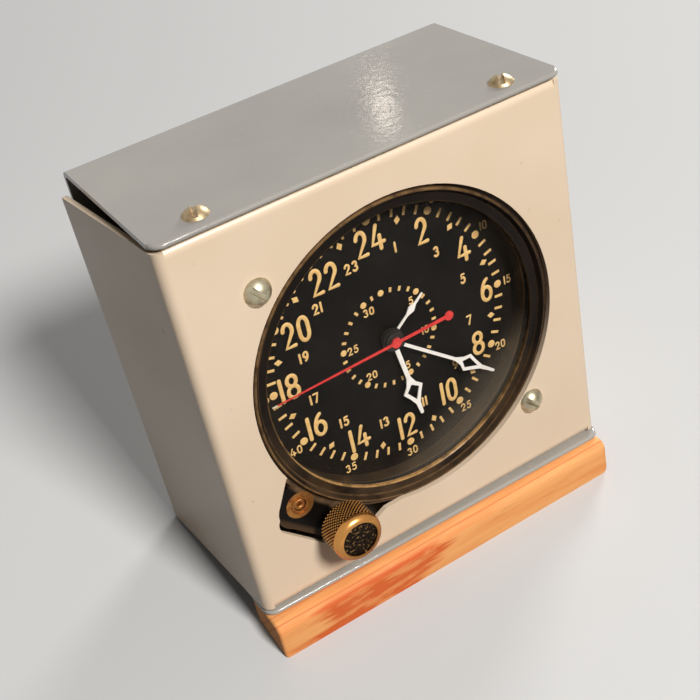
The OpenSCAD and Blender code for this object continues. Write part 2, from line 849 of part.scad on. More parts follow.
module case_back() {
    color(BLACK)
        in_clock()
            difference() {
                translate([0, 0, case_floor])
                    down(case_back_t, rim_r);
                at_level(stem_pos, case_floor + cut)
                    down(case_back_t + 2 * cut, boss_r + air_gap);
                for (a = back_screw_dirs)
                    at_level(polar(back_screw_circle, a), case_floor + cut)
                        down(case_back_t + 2 * cut, screw_r + drop_gap);
            }
}
module back_screws() {
    color(STEEL)
        in_clock()
            for (a = back_screw_dirs)
                at_level(polar(back_screw_circle, a), case_floor - case_back_t)
                    mirror([0, 0, 1])
                        plate_screw(case_back_t + 4);
}
module stem_bush() {
    front = knob_stand_off / 2;
    color(BLACK)
        in_clock()
            at_level(stem_pos, front) {
                ring_down(front - lug_back, bush_r, stem_r + run_gap);
                ring_down(front - lug_front, stem_circle_r - rim_r - drop_gap, stem_r + run_gap);
            }
}

// Plates, posts and pillars
arbor_places = [third_pos, escape_pos, intermediate_pos, lever_pos];
post_r = 1;
barrel_pivot_r = 1.5;
module pivot_hole(pos, z, r) {
    at_level(pos, z + cut)
        down(plate_t + 2 * cut, r + run_gap);
}
module main_plate() {
    color(BRASS)
        in_clock() {
            difference() {
                translate([0, 0, plate_z])
                    down(plate_t, movement_r);
                pivot_hole([0, 0], plate_z, center_tube_r);
                for (p = concat(arbor_places, [balance_pos]))
                    pivot_hole(p, plate_z, pivot_r);
                pivot_hole(barrel_pos, plate_z, barrel_pivot_r);
            }
            at_level(minute_pos, plate_z)
                cylinder(h = motion_z(2) + motion_gap / 2 - plate_z, r = post_r);
            at_level(day_pos, plate_z)
                cylinder(h = motion_z(0) + motion_gap / 2 - plate_z, r = post_r);
        }
}
balance_window_r = balance_r + 1.5;
click_pos = barrel_pos + polar(ratchet_n * wind_m / 2 + 5, 90);
spring_post_pos = click_pos + [spring_span, -spring_drop];
module back_plate() {
    wind_post_h = back_plate_back - (wind_z - wind_t) + 0.4;
    color(BRASS)
        in_clock() {
            difference() {
                translate([0, 0, back_z])
                    down(plate_t, back_plate_r);
                pivot_hole([0, 0], back_z, pivot_r);
                for (p = arbor_places)
                    pivot_hole(p, back_z, pivot_r);
                pivot_hole(barrel_pos, back_z, barrel_pivot_r);
                at_level(balance_pos, back_z + cut)
                    down(plate_t + 2 * cut, balance_window_r);
                for (p = pillar_pos)
                    at_level(p, back_z + cut)
                        down(plate_t + 2 * cut, screw_r + drop_gap);
                for (p = cock_screw_pos)
                    at_level(p, back_z + cut)
                        down(plate_t + 2 * cut, screw_r + seat_gap);
            }
            at_level(idler_pos, back_plate_back)
                down(wind_post_h, post_r);
            at_level(click_pos, back_plate_back)
                down(wind_post_h, post_r);
            at_level(spring_post_pos, back_plate_back)
                down(wind_post_h, post_r);
        }
}
module pillars() {
    color(BRASS)
        in_clock()
            for (p = pillar_pos)
                at_level(p, plate_back)
                    difference() {
                        down(plate_back - back_z, pillar_r);
                        translate([0, 0, back_z - plate_back - cut])
                            cylinder(h = 5 + cut, r = screw_r + seat_gap);
                    }
}
cock_foot = balance_window_r + 2.6;
cock_screw_pos = [for (s = [-1, 1]) balance_pos + polar(cock_foot, escape_dir + s * 90)];
module plate_screws() {
    color(BLUED)
        in_clock() {
            for (p = pillar_pos)
                at_level(p, back_plate_back)
                    mirror([0, 0, 1])
                        plate_screw(plate_t + 4);
            for (p = cock_screw_pos)
                at_level(p, back_plate_back - cock_t)
                    mirror([0, 0, 1])
                        plate_screw(plate_t + cock_t);
        }
}
module balance_cock() {
    width = 5;
    color(BRASS)
        in_clock()
            at_level(balance_pos, back_plate_back)
                rotate(escape_dir)
                    translate([0, 0, -cock_t])
                        linear_extrude(cock_t)
                            difference() {
                                union() {
                                    translate([-width / 2, -cock_foot])
                                        square([width, 2 * cock_foot]);
                                    for (s = [-1, 1])
                                        translate([0, s * cock_foot])
                                            circle(width / 2);
                                    circle(width * 0.6);
                                }
                                circle(pivot_r + run_gap);
                                for (s = [-1, 1])
                                    translate([0, s * cock_foot])
                                        circle(screw_r + drop_gap);
                            }
}
module regulator() {
    color(STEEL)
        in_clock()
            at_level(balance_pos, back_plate_back - cock_t)
                rotate(escape_dir + 180)
                    translate([0, 0, -regulator_t])
                        linear_extrude(regulator_t)
                            difference() {
                                union() {
                                    circle(2);
                                    translate([0, -0.4])
                                        square([6, 0.8]);
                                    translate([6, 0])
                                        circle(0.7);
                                }
                                circle(pivot_r + run_gap * 2);
                            }
}
// Flat spiral strip from r0 to r1
function spiral(r0, r1, turns, steps, off) =
    [for (i = [0:turns * steps])
        let (u = i / (turns * steps))
        polar(r0 + (r1 - r0) * u + off, u * turns * 360)];
function reversed(list) = [for (i = [len(list) - 1:-1:0]) list[i]];
module spiral_strip(r0, r1, turns, steps, w) {
    polygon(concat(spiral(r0, r1, turns, steps, w / 2), reversed(spiral(r0, r1, turns, steps, -w / 2))));
}
staff_r = 0.7;
collet_r = 1.2;
module hairspring() {
    strip = 0.15;
    outer = 4.4;
    color(BLUED)
        in_clock()
            at_level(balance_pos, hairspring_z) {
                translate([0, 0, -0.6])
                    linear_extrude(0.6)
                        spiral_strip(collet_r + 0.25, outer, 6, 20, strip);
                translate([outer, 0, -0.6])
                    translate([-0.3, -0.6, hairspring_stud_drop()])
                        cube([0.7, 0.7, 0.6 - hairspring_stud_drop()]);
            }
}
function hairspring_stud_drop() = back_plate_back - hairspring_z + 0.6;

// Centre wheel, which carries the minute hand on a hollow arbor
module center_arbor() {
    phase = mesh_phase(bearing(intermediate_pos, [0, 0]), intermediate_n, 0, center_pinion_n);
    front = hand_z(2) - air_gap;
    color(STEEL)
        in_clock() {
            translate([0, 0, front])
                ring_down(front - train_z(1) + train_t, center_tube_r, center_bore_r);
            translate([0, 0, train_z(0)])
                pinion(center_pinion_n, power_m, phase, train_t, center_bore_r);
        }
}
module center_wheel() {
    color(BRASS)
        in_clock()
            translate([0, 0, train_z(1)])
                spoked_wheel(center_n, train_m, 0, train_t, center_tube_r + seat_gap);
}
module cannon_pinion() {
    front = hand_z(2) + hand_t;
    color(STEEL)
        in_clock() {
            translate([0, 0, front])
                ring_down(front - motion_z(3) + motion_t, cannon_tube_r, cannon_bore_r);
            translate([0, 0, motion_z(3)])
                pinion(cannon_n, motion_m, 0, motion_t, cannon_bore_r);
        }
}
// Skeleton hand with an open lozenge, drawn pointing along +y
module lozenge_hand(len, spread, wide, half, merge, arm, tip, bore) {
    shoulder = wide - 0.42 * (wide - spread);
    slope = wide + 0.42 * (merge - wide);
    window = half * 0.62;
    difference() {
        union() {
            circle(bore + 1);
            polygon([[-arm, 0], [arm, 0], [arm, spread], [arm + half * 0.3, shoulder], [half, wide],
                [half * 0.62, slope], [tip * 1.4, merge], [tip, len - tip], [-tip, len - tip],
                [-tip * 1.4, merge], [-half * 0.62, slope], [-half, wide],
                [-arm - half * 0.3, shoulder], [-arm, spread]]);
            translate([0, len - tip])
                circle(tip);
        }
        circle(bore);
        polygon([[0, wide - 0.42 * (wide - spread)], [window, wide], [0, merge - 0.25 * (merge - wide)],
            [-window, wide]]);
    }
}
module point_to(face, z) {
    translate([0, 0, z])
        rotate(-face)
            linear_extrude(hand_t)
                children();
}
module minute_hand() {
    color(LUME)
        in_clock()
            point_to(minute_face, hand_z(2))
                lozenge_hand(minute_len, minute_len - 13.6, minute_len - 9.6, 2.3, minute_len - 4.6,
                    0.4, 0.35, cannon_tube_r + seat_gap);
}

// Third wheel
module third_arbor() {
    phase = mesh_phase(third_dir, center_n, 0, third_pinion_n);
    color(STEEL)
        in_clock()
            at_level(third_pos, 0) {
                arbor(stout_r);
                translate([0, 0, train_z(1) + 0.1])
                    pinion(third_pinion_n, train_m, phase, train_t + 0.2, stout_r / 2);
            }
}
module third_wheel() {
    color(BRASS)
        in_clock()
            at_level(third_pos, train_z(2))
                spoked_wheel(third_n, third_m, 0, train_t, stout_r + seat_gap);
}

// Seconds arbor, which runs through the hollow centre arbor
module seconds_arbor() {
    phase = mesh_phase(third_dir + 180, third_n, 0, seconds_pinion_n);
    front = hand_z(3) + hand_t;
    color(STEEL)
        in_clock() {
            translate([0, 0, front])
                down(front - back_z - end_shake, arbor_r);
            translate([0, 0, back_z + end_shake + cut])
                down(plate_t + end_shake + cut, pivot_r);
            translate([0, 0, train_z(2) + 0.1])
                pinion(seconds_pinion_n, third_m, phase, train_t + 0.2, arbor_r / 2);
        }
}
module fourth_wheel() {
    color(BRASS)
        in_clock()
            translate([0, 0, train_z(3)])
                spoked_wheel(fourth_n, train_m, 0, train_t, arbor_r + seat_gap);
}
module seconds_hand() {
    tip_w = 0.1;
    root_w = 0.33;
    tail_w = 0.42;
    color(RED)
        in_clock()
            point_to(seconds_face, hand_z(3))
                difference() {
                    union() {
                        circle(1.3);
                        polygon([[-tail_w, -tail_len], [tail_w, -tail_len], [root_w, 0],
                            [tip_w, seconds_len], [-tip_w, seconds_len], [-root_w, 0]]);
                        translate([0, -tail_len])
                            circle(1.2);
                    }
                    circle(arbor_r + seat_gap);
                }
}

// Escapement
module escape_arbor() {
    phase = mesh_phase(escape_dir, fourth_n, 0, escape_pinion_n);
    color(STEEL)
        in_clock()
            at_level(escape_pos, 0) {
                arbor(stout_r);
                translate([0, 0, train_z(3) + 0.1])
                    pinion(escape_pinion_n, train_m, phase, train_t + 0.2, stout_r / 2);
            }
}
module escape_wheel() {
    root = escape_r * 0.72;
    color(STEEL)
        in_clock()
            at_level(escape_pos, train_z(4) - train_t)
                linear_extrude(train_t)
                    difference() {
                        polygon([for (i = [0:escape_n - 1], k = [0:3])
                            polar(k == 1 || k == 2 ? escape_r : root,
                                i * 360 / escape_n + [0, 9, 12, 9.5][k])]);
                        spoke_windows(root - 0.6, stout_r + 0.6, 4);
                        circle(stout_r + seat_gap);
                    }
}
stone_gap = 0.45;
stone_w = 0.6;
stone_len = 1.1;
// The lever is drawn with its pivot at the origin and the escape wheel along -x
module stone_shapes() {
    for (s = [-1, 1])
        translate([-lever_run, 0])
            rotate(s * lever_half)
                translate([escape_r + stone_gap, -stone_w / 2])
                    square([stone_len, stone_w]);
}
module anchor_shape() {
    inner = escape_r + stone_gap + stone_len / 2;
    outer = inner + stone_len;
    arm_end = polar(2 * outer, lever_half + 6);
    translate([-lever_run, 0])
        intersection() {
            difference() {
                circle(outer);
                circle(inner);
            }
            polygon([[0, 0], [arm_end[0], -arm_end[1]], [2 * outer, 0], arm_end]);
        }
}
module pallet_lever() {
    fork_w = 2.2;
    notch_w = 0.8;
    color(STEEL)
        in_clock()
            at_level(lever_pos, train_z(4) - lever_t)
                rotate(escape_dir)
                    linear_extrude(lever_t)
                        difference() {
                            union() {
                                circle(pallet_r + 0.5);
                                anchor_shape();
                                translate([0, -fork_w / 4])
                                    square([fork_len, fork_w / 2]);
                                translate([fork_len - 1, -fork_w / 2])
                                    square([1, fork_w]);
                            }
                            circle(pallet_r + seat_gap);
                            translate([fork_len - 0.7, -notch_w / 2])
                                square([1, notch_w]);
                            stone_shapes();
                        }
}
module pallet_stones() {
    color(RUBY)
        in_clock()
            at_level(lever_pos, train_z(4) - lever_t)
                rotate(escape_dir)
                    linear_extrude(lever_t)
                        stone_shapes();
}
module pallet_arbor() {
    color(STEEL)
        in_clock()
            at_level(lever_pos, 0)
                arbor(pallet_r);
}
module balance_wheel() {
    rim = 1;
    color(BRASS)
        in_clock()
            at_level(balance_pos, balance_z - balance_t)
                rotate(escape_dir + 45)
                    linear_extrude(balance_t)
                        difference() {
                            circle(balance_r);
                            spoke_windows(balance_r - rim, staff_r + 1, 2);
                            circle(staff_r + seat_gap);
                        }
}
module balance_staff() {
    color(STEEL)
        in_clock()
            at_level(balance_pos, 0) {
                translate([0, 0, plate_back - end_shake])
                    down(plate_back - back_plate_back - 2 * end_shake, staff_r);
                translate([0, 0, plate_z])
                    down(plate_z - back_plate_back + cock_t, pivot_r);
                translate([0, 0, hairspring_z + 0.2])
                    down(1, collet_r);
            }
}
module roller_table() {
    top = train_z(4) - train_t - 0.15;
    color(STEEL)
        in_clock()
            at_level(balance_pos, top)
                ring_down(0.6, roller_r, staff_r + seat_gap);
}

// Dial work: 24 to 1 for the hour hand, 31 days for the day hand
module minute_wheel() {
    pinion_phase = mesh_phase(bearing([0, 0], minute_pos), hour_n, 0, minute_pinion_n);
    wheel_phase = mesh_phase(bearing([0, 0], minute_pos), cannon_n, 0, minute_n);
    bore = post_r + run_gap;
    color(BRASS)
        in_clock()
            at_level(minute_pos, 0) {
                translate([0, 0, motion_z(3)])
                    spoked_wheel(minute_n, motion_m, wheel_phase, motion_t, bore);
                translate([0, 0, motion_z(2)])
                    pinion(minute_pinion_n, hour_m, pinion_phase, motion_t + motion_gap, bore);
            }
}
module hour_wheel() {
    front = hand_z(1) + hand_t;
    color(BRASS)
        in_clock() {
            translate([0, 0, motion_z(2)])
                spoked_wheel(hour_n, hour_m, 0, motion_t, hour_bore_r);
            translate([0, 0, front])
                ring_down(front - motion_z(2) + motion_t, hour_tube_r, hour_bore_r);
            translate([0, 0, motion_z(1)])
                pinion(hour_pinion_n, day_m, 0, motion_t, hour_bore_r);
        }
}
module hour_hand() {
    color(LUME)
        in_clock()
            point_to(hour_face, hand_z(1))
                lozenge_hand(hour_len, hour_len - 12, hour_len - 8, 2.8, hour_len - 3.6, 0.58, 0.45,
                    hour_tube_r + seat_gap);
}
module day_idler() {
    wheel_phase = mesh_phase(day_dir, hour_pinion_n, 0, day_idler_n);
    pinion_phase = mesh_phase(day_dir, day_n, 0, day_pinion_n);
    bore = post_r + run_gap;
    color(BRASS)
        in_clock()
            at_level(day_pos, 0) {
                translate([0, 0, motion_z(1)])
                    spoked_wheel(day_idler_n, day_m, wheel_phase, motion_t, bore);
                translate([0, 0, motion_z(0)])
                    pinion(day_pinion_n, day_wheel_m, pinion_phase, motion_t + motion_gap, bore);
            }
}
module day_wheel() {
    front = hand_z(0) + hand_t;
    color(BRASS)
        in_clock() {
            translate([0, 0, motion_z(0)])
                spoked_wheel(day_n, day_wheel_m, 0, motion_t, day_bore_r);
            translate([0, 0, front])
                ring_down(front - motion_z(0) + motion_t, day_tube_r, day_bore_r);
        }
}
module day_hand() {
    arm = 0.31;
    half = 0.98;
    wide = day_len * 0.646;
    color(LUME)
        in_clock()
            point_to(day_face, hand_z(0))
                difference() {
                    union() {
                        circle(hub_r);
                        polygon([[-arm, 0], [arm, 0], [arm, wide - 1.8], [half, wide], [arm, wide + 1.6],
                            [0.2, day_len], [-0.2, day_len], [-arm, wide + 1.6], [-half, wide],
                            [-arm, wide - 1.8]]);
                    }
                    circle(day_tube_r + seat_gap);
                }
}

// Mainspring barrel and the wheel between it and the centre
module intermediate_arbor() {
    phase = mesh_phase(bearing(barrel_pos, intermediate_pos), barrel_n, 0, intermediate_pinion_n);
    color(STEEL)
        in_clock()
            at_level(intermediate_pos, 0) {
                arbor(stout_r);
                translate([0, 0, train_z(4) + 0.1])
                    pinion(intermediate_pinion_n, power_m, phase, train_t + 0.2, stout_r / 2);
            }
}
module intermediate_wheel() {
    color(BRASS)
        in_clock()
            at_level(intermediate_pos, train_z(0))
                spoked_wheel(intermediate_n, power_m, 0, train_t, stout_r + seat_gap);
}
drum_r = barrel_n * power_m / 2 - wheel_ded * power_m - 0.5;
spring_room_r = drum_r - barrel_wall;
core_r = 3;
module barrel() {
    color(BRASS)
        in_clock()
            at_level(barrel_pos, train_z(4))
                difference() {
                    union() {
                        translate([0, 0, -train_t])
                            linear_extrude(train_t)
                                wheel_shape(barrel_n, power_m, 0);
                        down(barrel_h, drum_r);
                    }
                    translate([0, 0, -train_t])
                        down(barrel_h, spring_room_r);
                    translate([0, 0, cut])
                        down(train_t + 2 * cut, barrel_pivot_r + run_gap);
                }
}
module barrel_cover() {
    color(BRASS)
        in_clock()
            at_level(barrel_pos, train_z(4) - barrel_h + barrel_wall)
                ring_down(barrel_wall, spring_room_r - seat_gap, barrel_pivot_r + run_gap);
}
module mainspring() {
    room = barrel_h - train_t - barrel_wall - 2 * air_gap;
    strip = 0.4;
    color(BLUED)
        in_clock()
            at_level(barrel_pos, train_z(4) - train_t - air_gap)
                translate([0, 0, -room])
                    linear_extrude(room)
                        spiral_strip(core_r + 0.8, spring_room_r - strip / 2 - seat_gap, 7, 20, strip);
}
module barrel_arbor() {
    color(STEEL)
        in_clock()
            at_level(barrel_pos, 0) {
                translate([0, 0, plate_z])
                    down(plate_z - wind_z + wind_t, barrel_pivot_r);
                translate([0, 0, train_z(4) - train_t - air_gap / 2])
                    down(barrel_h - train_t - barrel_wall - air_gap, core_r);
            }
}
module ratchet_wheel() {
    phase = mesh_phase(bearing(idler_pos, barrel_pos), idler_n, 0, ratchet_n);
    color(STEEL)
        in_clock()
            at_level(barrel_pos, wind_z - wind_t)
                linear_extrude(wind_t)
                    difference() {
                        wheel_shape(ratchet_n, wind_m, phase);
                        circle(barrel_pivot_r + seat_gap);
                    }
}
ratchet_tip_r = ratchet_n * wind_m / 2 + wheel_add * wind_m;
click_nose = barrel_pos - click_pos + polar(ratchet_tip_r + air_gap / 2, 68);
module click() {
    color(STEEL)
        in_clock()
            at_level(click_pos, wind_z - wind_t)
                linear_extrude(wind_t)
                    difference() {
                        union() {
                            circle(2);
                            polygon([[-0.4, -1.6], click_nose, click_nose + [0.3, 1.3], [0.6, 1.6]]);
                        }
                        circle(post_r + run_gap);
                    }
}
module click_spring() {
    leaf = 0.3;
    eye_r = post_r + 0.6;
    tip = click_pos + click_nose + [0.3, 1.3 + 5 * leaf];
    root = spring_post_pos + [0, eye_r - leaf];
    color(BLUED)
        in_clock()
            translate([0, 0, wind_z - wind_t])
                linear_extrude(wind_t / 2)
                    difference() {
                        union() {
                            translate(spring_post_pos)
                                circle(eye_r);
                            polygon([root, root + [0, leaf], tip + [0, leaf], tip]);
                        }
                        translate(spring_post_pos)
                            circle(post_r + seat_gap);
                    }
}

// Winding and setting work
module winding_idler() {
    color(STEEL)
        in_clock()
            at_level(idler_pos, wind_z - wind_t)
                linear_extrude(wind_t)
                    difference() {
                        wheel_shape(idler_n, wind_m, 0);
                        circle(post_r + run_gap);
                    }
}
module winding_stem() {
    phase = mesh_phase(stem_dir, idler_n, 0, wind_pinion_n);
    pinion_top = wind_z + 0.2;
    front = knob_stand_off + knob_len * 0.6;
    color(STEEL)
        in_clock()
            at_level(stem_pos, 0) {
                translate([0, 0, front])
                    down(front - boss_end, stem_r);
                translate([0, 0, pinion_top])
                    pinion(wind_pinion_n, wind_m, phase, pinion_top - stem_tail - air_gap, stem_r / 2);
                for (z = [sleeve_top + collar_t + run_gap, sleeve_top - sleeve_len - run_gap])
                    translate([0, 0, z])
                        down(collar_t, collar_r);
            }
}
module pull_sleeve() {
    color(BRASS)
        in_clock()
            at_level(stem_pos, sleeve_top)
                difference() {
                    ring_down(sleeve_len, sleeve_r + 0.6, stem_r + run_gap);
                    translate([0, 0, -sleeve_len * 0.4])
                        ring_down(sleeve_len * 0.3, sleeve_r + 2, sleeve_r);
                }
}
module knob() {
    end = knob_stand_off + knob_len;
    face_r = knob_r - knob_chamfer;
    color(BRASS)
        in_clock()
            at_level(stem_pos, 0)
                difference() {
                    rotate_extrude()
                        polygon([[0, knob_stand_off], [knob_r - knob_chamfer / 2, knob_stand_off],
                            [knob_r, knob_stand_off + knob_chamfer / 2], [knob_r, end - knob_chamfer * 1.6],
                            [face_r, end], [knob_recess_r, end], [knob_recess_r, end - knob_recess_d],
                            [0, end - knob_recess_d]]);
                    translate([0, 0, knob_stand_off - cut])
                        cylinder(h = knob_len * 0.6 + cut, r = stem_r + seat_gap);
                }
}

front_shell();
wrap_cover();
wood_foot();
cover_screws();
mount_screws();
instrument_case();
flange_inserts();
bezel_ring();
crystal();
crystal_gasket();
dial_ring();
dial();
dial_spacer();
case_back();
back_screws();
stem_bush();
main_plate();
back_plate();
pillars();
plate_screws();
balance_cock();
regulator();
hairspring();
click_spring();
center_arbor();
center_wheel();
cannon_pinion();
minute_hand();
third_arbor();
third_wheel();
seconds_arbor();
fourth_wheel();
seconds_hand();
escape_arbor();
escape_wheel();
pallet_lever();
pallet_arbor();
pallet_stones();
balance_wheel();
balance_staff();
roller_table();
minute_wheel();
hour_wheel();
hour_hand();
day_idler();
day_wheel();
day_hand();
intermediate_arbor();
intermediate_wheel();
barrel();
barrel_cover();
mainspring();
barrel_arbor();
ratchet_wheel();
click();
winding_idler();
winding_stem();
knob();
pull_sleeve();
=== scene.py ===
# %% [markdown]
# # A panel clock in a sheet-metal desk stand
# The imported model is loaded as a fixed frame: every piece of the clock is already there, in metres
# and at its place. This lesson gives each piece the finish of the real one, paints the dial, cuts
# the knurl and rounds the edges that a plain solid leaves sharp.

# %% Load the frame
import json
import math

import bmesh
import bpy
from mathutils import Matrix, Vector


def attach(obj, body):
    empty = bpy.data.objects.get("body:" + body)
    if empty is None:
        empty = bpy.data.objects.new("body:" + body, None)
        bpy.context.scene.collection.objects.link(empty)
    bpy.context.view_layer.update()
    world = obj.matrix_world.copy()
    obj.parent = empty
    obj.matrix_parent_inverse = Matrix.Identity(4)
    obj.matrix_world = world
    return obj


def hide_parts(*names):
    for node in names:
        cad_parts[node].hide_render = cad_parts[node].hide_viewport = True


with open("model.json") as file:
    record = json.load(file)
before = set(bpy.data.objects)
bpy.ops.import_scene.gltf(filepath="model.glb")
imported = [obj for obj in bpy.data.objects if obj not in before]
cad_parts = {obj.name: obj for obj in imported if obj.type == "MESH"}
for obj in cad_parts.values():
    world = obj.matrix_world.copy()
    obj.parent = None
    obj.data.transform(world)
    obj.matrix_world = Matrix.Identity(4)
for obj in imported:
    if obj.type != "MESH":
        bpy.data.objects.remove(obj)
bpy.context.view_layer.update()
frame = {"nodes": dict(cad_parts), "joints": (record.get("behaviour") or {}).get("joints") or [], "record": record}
nodes = frame["nodes"]

# %% [markdown]
# The panel leans back, so the clock has a frame of its own: x to the right, y up the panel and z
# out of it, with the dial's centre as zero. The minute hand's axis gives it. Dial marks, the knob
# and the wear on the rim are all far easier to draw in that frame, in millimetres, and one matrix
# then carries a finished mesh to its place.

# %% The clock's own frame
MM = 0.001
minute_turn = next(joint for joint in frame["joints"] if joint["name"] == "minute_turn")
OUT = -Vector(minute_turn["axis"]).normalized()
RIGHT = Vector((1, 0, 0))
UP = OUT.cross(RIGHT)
CLOCK = Matrix.Translation(minute_turn["pos_m"]) @ Matrix((RIGHT, UP, OUT)).transposed().to_4x4()
FROM_MM = CLOCK @ Matrix.Scale(MM, 4)
TO_MM = FROM_MM.inverted()


def clock_points(node):
    """Vertices of a CAD node in the clock's own frame, in millimetres."""
    return [TO_MM @ vertex.co for vertex in nodes[node].data.vertices]


def corners(points):
    """Lowest and highest corner of the box round some points."""
    return [Vector(pick(point[i] for point in points) for i in range(3)) for pick in (min, max)]


def clock_box(node):
    """Lowest and highest corner of a CAD node in the clock's own frame, in millimetres."""
    return corners(clock_points(node))


DIAL_FACE = clock_box("dial")[1].z
RIM_R = clock_box("bezel_ring")[1].x
print("dial face at", round(DIAL_FACE, 2), "mm, glass seat radius", round(RIM_R, 2), "mm")

# %% [markdown]
# The camera comes first, because every later choice is judged through it. It looks down on the
# clock's left front, where the photograph was taken from. Four corners of the panel and the circle
# of the dial gave its place and its focal length.

# %% Camera
scene = bpy.context.scene
scene.view_settings.view_transform = "Standard"
camera_data = bpy.data.cameras.new("camera")
camera_data.sensor_width = 36
camera_data.lens = 62.33
camera = bpy.data.objects.new("camera", camera_data)
camera.location = (-0.10391, -0.16431, 0.25139)
camera.rotation_euler = [math.radians(angle) for angle in (46.7851, 5.257, -32.1477)]
scene.collection.objects.link(camera)
scene.camera = camera
print("camera looks along", [round(v, 3) for v in camera.rotation_euler.to_matrix() @ Vector((0, 0, -1))])

# %% [markdown]
# One lamp does most of the work in the photograph. The knob's shadow tells where it stands: straight
# down the panel and as long as the knob is high, so the lamp is in front and above, a little to
# the right. The panel and the top are bright, the left side is in shade, and the rim throws a
# shadow on the upper edge of the dial. A round soft panel stands in for that lamp. A wide weak one
# behind on the right lights the back, and a small one far behind shows as a glint in the top sheet.

# %% Lights
def add_lamp(name, place, aim, size, watts):
    """A round soft lamp at one place that shines towards another."""
    lamp = bpy.data.lights.new(name, "AREA")
    lamp.shape = "DISK"
    lamp.size = size
    lamp.energy = watts
    holder = bpy.data.objects.new(name, lamp)
    holder.location = place
    holder.rotation_euler = (Vector(place) - Vector(aim)).to_track_quat("Z", "Y").to_euler()
    scene.collection.objects.link(holder)
    return holder


AIM = Vector((0, 0.01, 0.055))
add_lamp("key_lamp", AIM + 1.2 * Vector((0.10, -0.63, 0.77)), AIM, size=0.30, watts=16.4)
add_lamp("back_lamp", AIM + 1.1 * Vector((0.78, 0.58, 0.26)), AIM, size=0.35, watts=8.0)
glint = add_lamp("glint_lamp", (0.361, 0.731, 0.296), AIM, size=0.02, watts=0.008)
glint.data.color = (1, 0.86, 0.74)

# %% [markdown]
# Every finish below is a small graph of shader nodes. Four helpers keep those graphs readable: one
# turns the hex colours that are read off a picture into the linear values that a renderer works
# with, one adds a node with its settings and links, one starts a material from plain numbers on its
# shader, and one sizes a pattern from real millimetres: a noise of scale 1 / size repeats about once
# in that size. Each material is named for what it is and how its surface was made.

# %% Material helpers
def hex_colour(text):
    """Linear RGBA of an sRGB colour written as six hex digits."""
    channels = [int(text[i:i + 2], 16) / 255 for i in (0, 2, 4)]
    return [c / 12.92 if c <= 0.04045 else ((c + 0.055) / 1.055) ** 2.4 for c in channels] + [1]


def add_node(tree, kind, inputs=None, **settings):
    """Add a node; an input is either a plain value or another node's output to link."""
    node = tree.nodes.new(kind)
    for key, value in settings.items():
        setattr(node, key, value)
    for socket, value in (inputs or {}).items():
        if isinstance(value, bpy.types.NodeSocket):
            tree.links.new(value, node.inputs[socket])
        else:
            node.inputs[socket].default_value = value
    return node


def start_finish(name, **sockets):
    """A new material: its tree, its shader and the clock-frame position of the shaded point."""
    material = bpy.data.materials.new(name)
    material.use_nodes = True
    tree = material.node_tree
    shader = tree.nodes["Principled BSDF"]
    for socket, value in sockets.items():
        shader.inputs[socket.replace("_", " ")].default_value = value
    place = add_node(tree, "ShaderNodeTexCoord").outputs["Object"]
    place = add_node(tree, "ShaderNodeMapping", {"Vector": place, "Location": CLOCK.translation,
                     "Rotation": CLOCK.to_euler()}, vector_type="TEXTURE").outputs["Vector"]
    return material, tree, shader, place


def per_mm(size):
    """Texture scale whose pattern repeats about once in so many millimetres."""
    return 1 / (size * MM)


print("half-grey, linear:", round(hex_colour("808080")[0], 3))

# %% [markdown]
# Floor and world are the stage. They are pale to the camera and in reflections, but throw only as
# much light on the clock as a dim room would, so that the side away from the lamp stays in shade.
# The Light Path node tells which kind of ray is asking.

# %% Which rays see the stage
def seen_rays(tree):
    """1 for a ray from the camera, from a glossy surface or through glass, else 0."""
    rays = add_node(tree, "ShaderNodeLightPath").outputs
    seen = add_node(tree, "ShaderNodeMath", {0: rays["Is Camera Ray"], 1: rays["Is Glossy Ray"]}).outputs[0]
    return add_node(tree, "ShaderNodeMath", {0: seen, 1: rays["Is Transmission Ray"]},
                    use_clamp=True).outputs[0]


PALE, DIM = 0.62, 0.10
print("stage level", PALE, "where it is seen,", DIM, "as light on the clock")

# %% [markdown]
# The floor is a plain pale sheet of paper, no part of the clock. Far from the clock it takes on the
# world's own level, so that no horizon shows behind the clock in a low view; near the clock it keeps
# the shadow.

# %% Floor
FLOOR_HALF, SHADOW_R, HORIZON_R = 3, 0.25, 0.9
floor_mesh = bmesh.new()
bmesh.ops.create_grid(floor_mesh, x_segments=1, y_segments=1, size=FLOOR_HALF)
floor_data = bpy.data.meshes.new("floor")
floor_mesh.to_mesh(floor_data)
floor_mesh.free()
floor = bpy.data.objects.new("floor", floor_data)
scene.collection.objects.link(floor)
floor_paper = bpy.data.materials.new("matt_backdrop_paper")
floor_paper.use_nodes = True
tree = floor_paper.node_tree
shader = tree.nodes["Principled BSDF"]
seen = seen_rays(tree)
away = add_node(tree, "ShaderNodeTexCoord").outputs["Object"]
away = add_node(tree, "ShaderNodeVectorMath", {0: away}, operation="LENGTH").outputs["Value"]
far = add_node(tree, "ShaderNodeMapRange", {"Value": away, "From Min": SHADOW_R,
               "From Max": HORIZON_R}).outputs[0]
far = add_node(tree, "ShaderNodeMath", {0: far, 1: seen}, operation="MULTIPLY").outputs[0]
tone = add_node(tree, "ShaderNodeMix", {0: seen, 6: hex_colour("565554"), 7: hex_colour("CFCECC")},
                data_type="RGBA").outputs[2]
tone = add_node(tree, "ShaderNodeMix", {0: far, 6: tone, 7: hex_colour("000000")}, data_type="RGBA").outputs[2]
tree.links.new(tone, shader.inputs["Base Color"])
glow = add_node(tree, "ShaderNodeMath", {0: far, 1: PALE}, operation="MULTIPLY").outputs[0]
tree.links.new(glow, shader.inputs["Emission Strength"])
shader.inputs["Emission Color"].default_value = hex_colour("FFFEFC")
shader.inputs["Specular IOR Level"].default_value = 0.0
floor_data.materials.append(floor_paper)
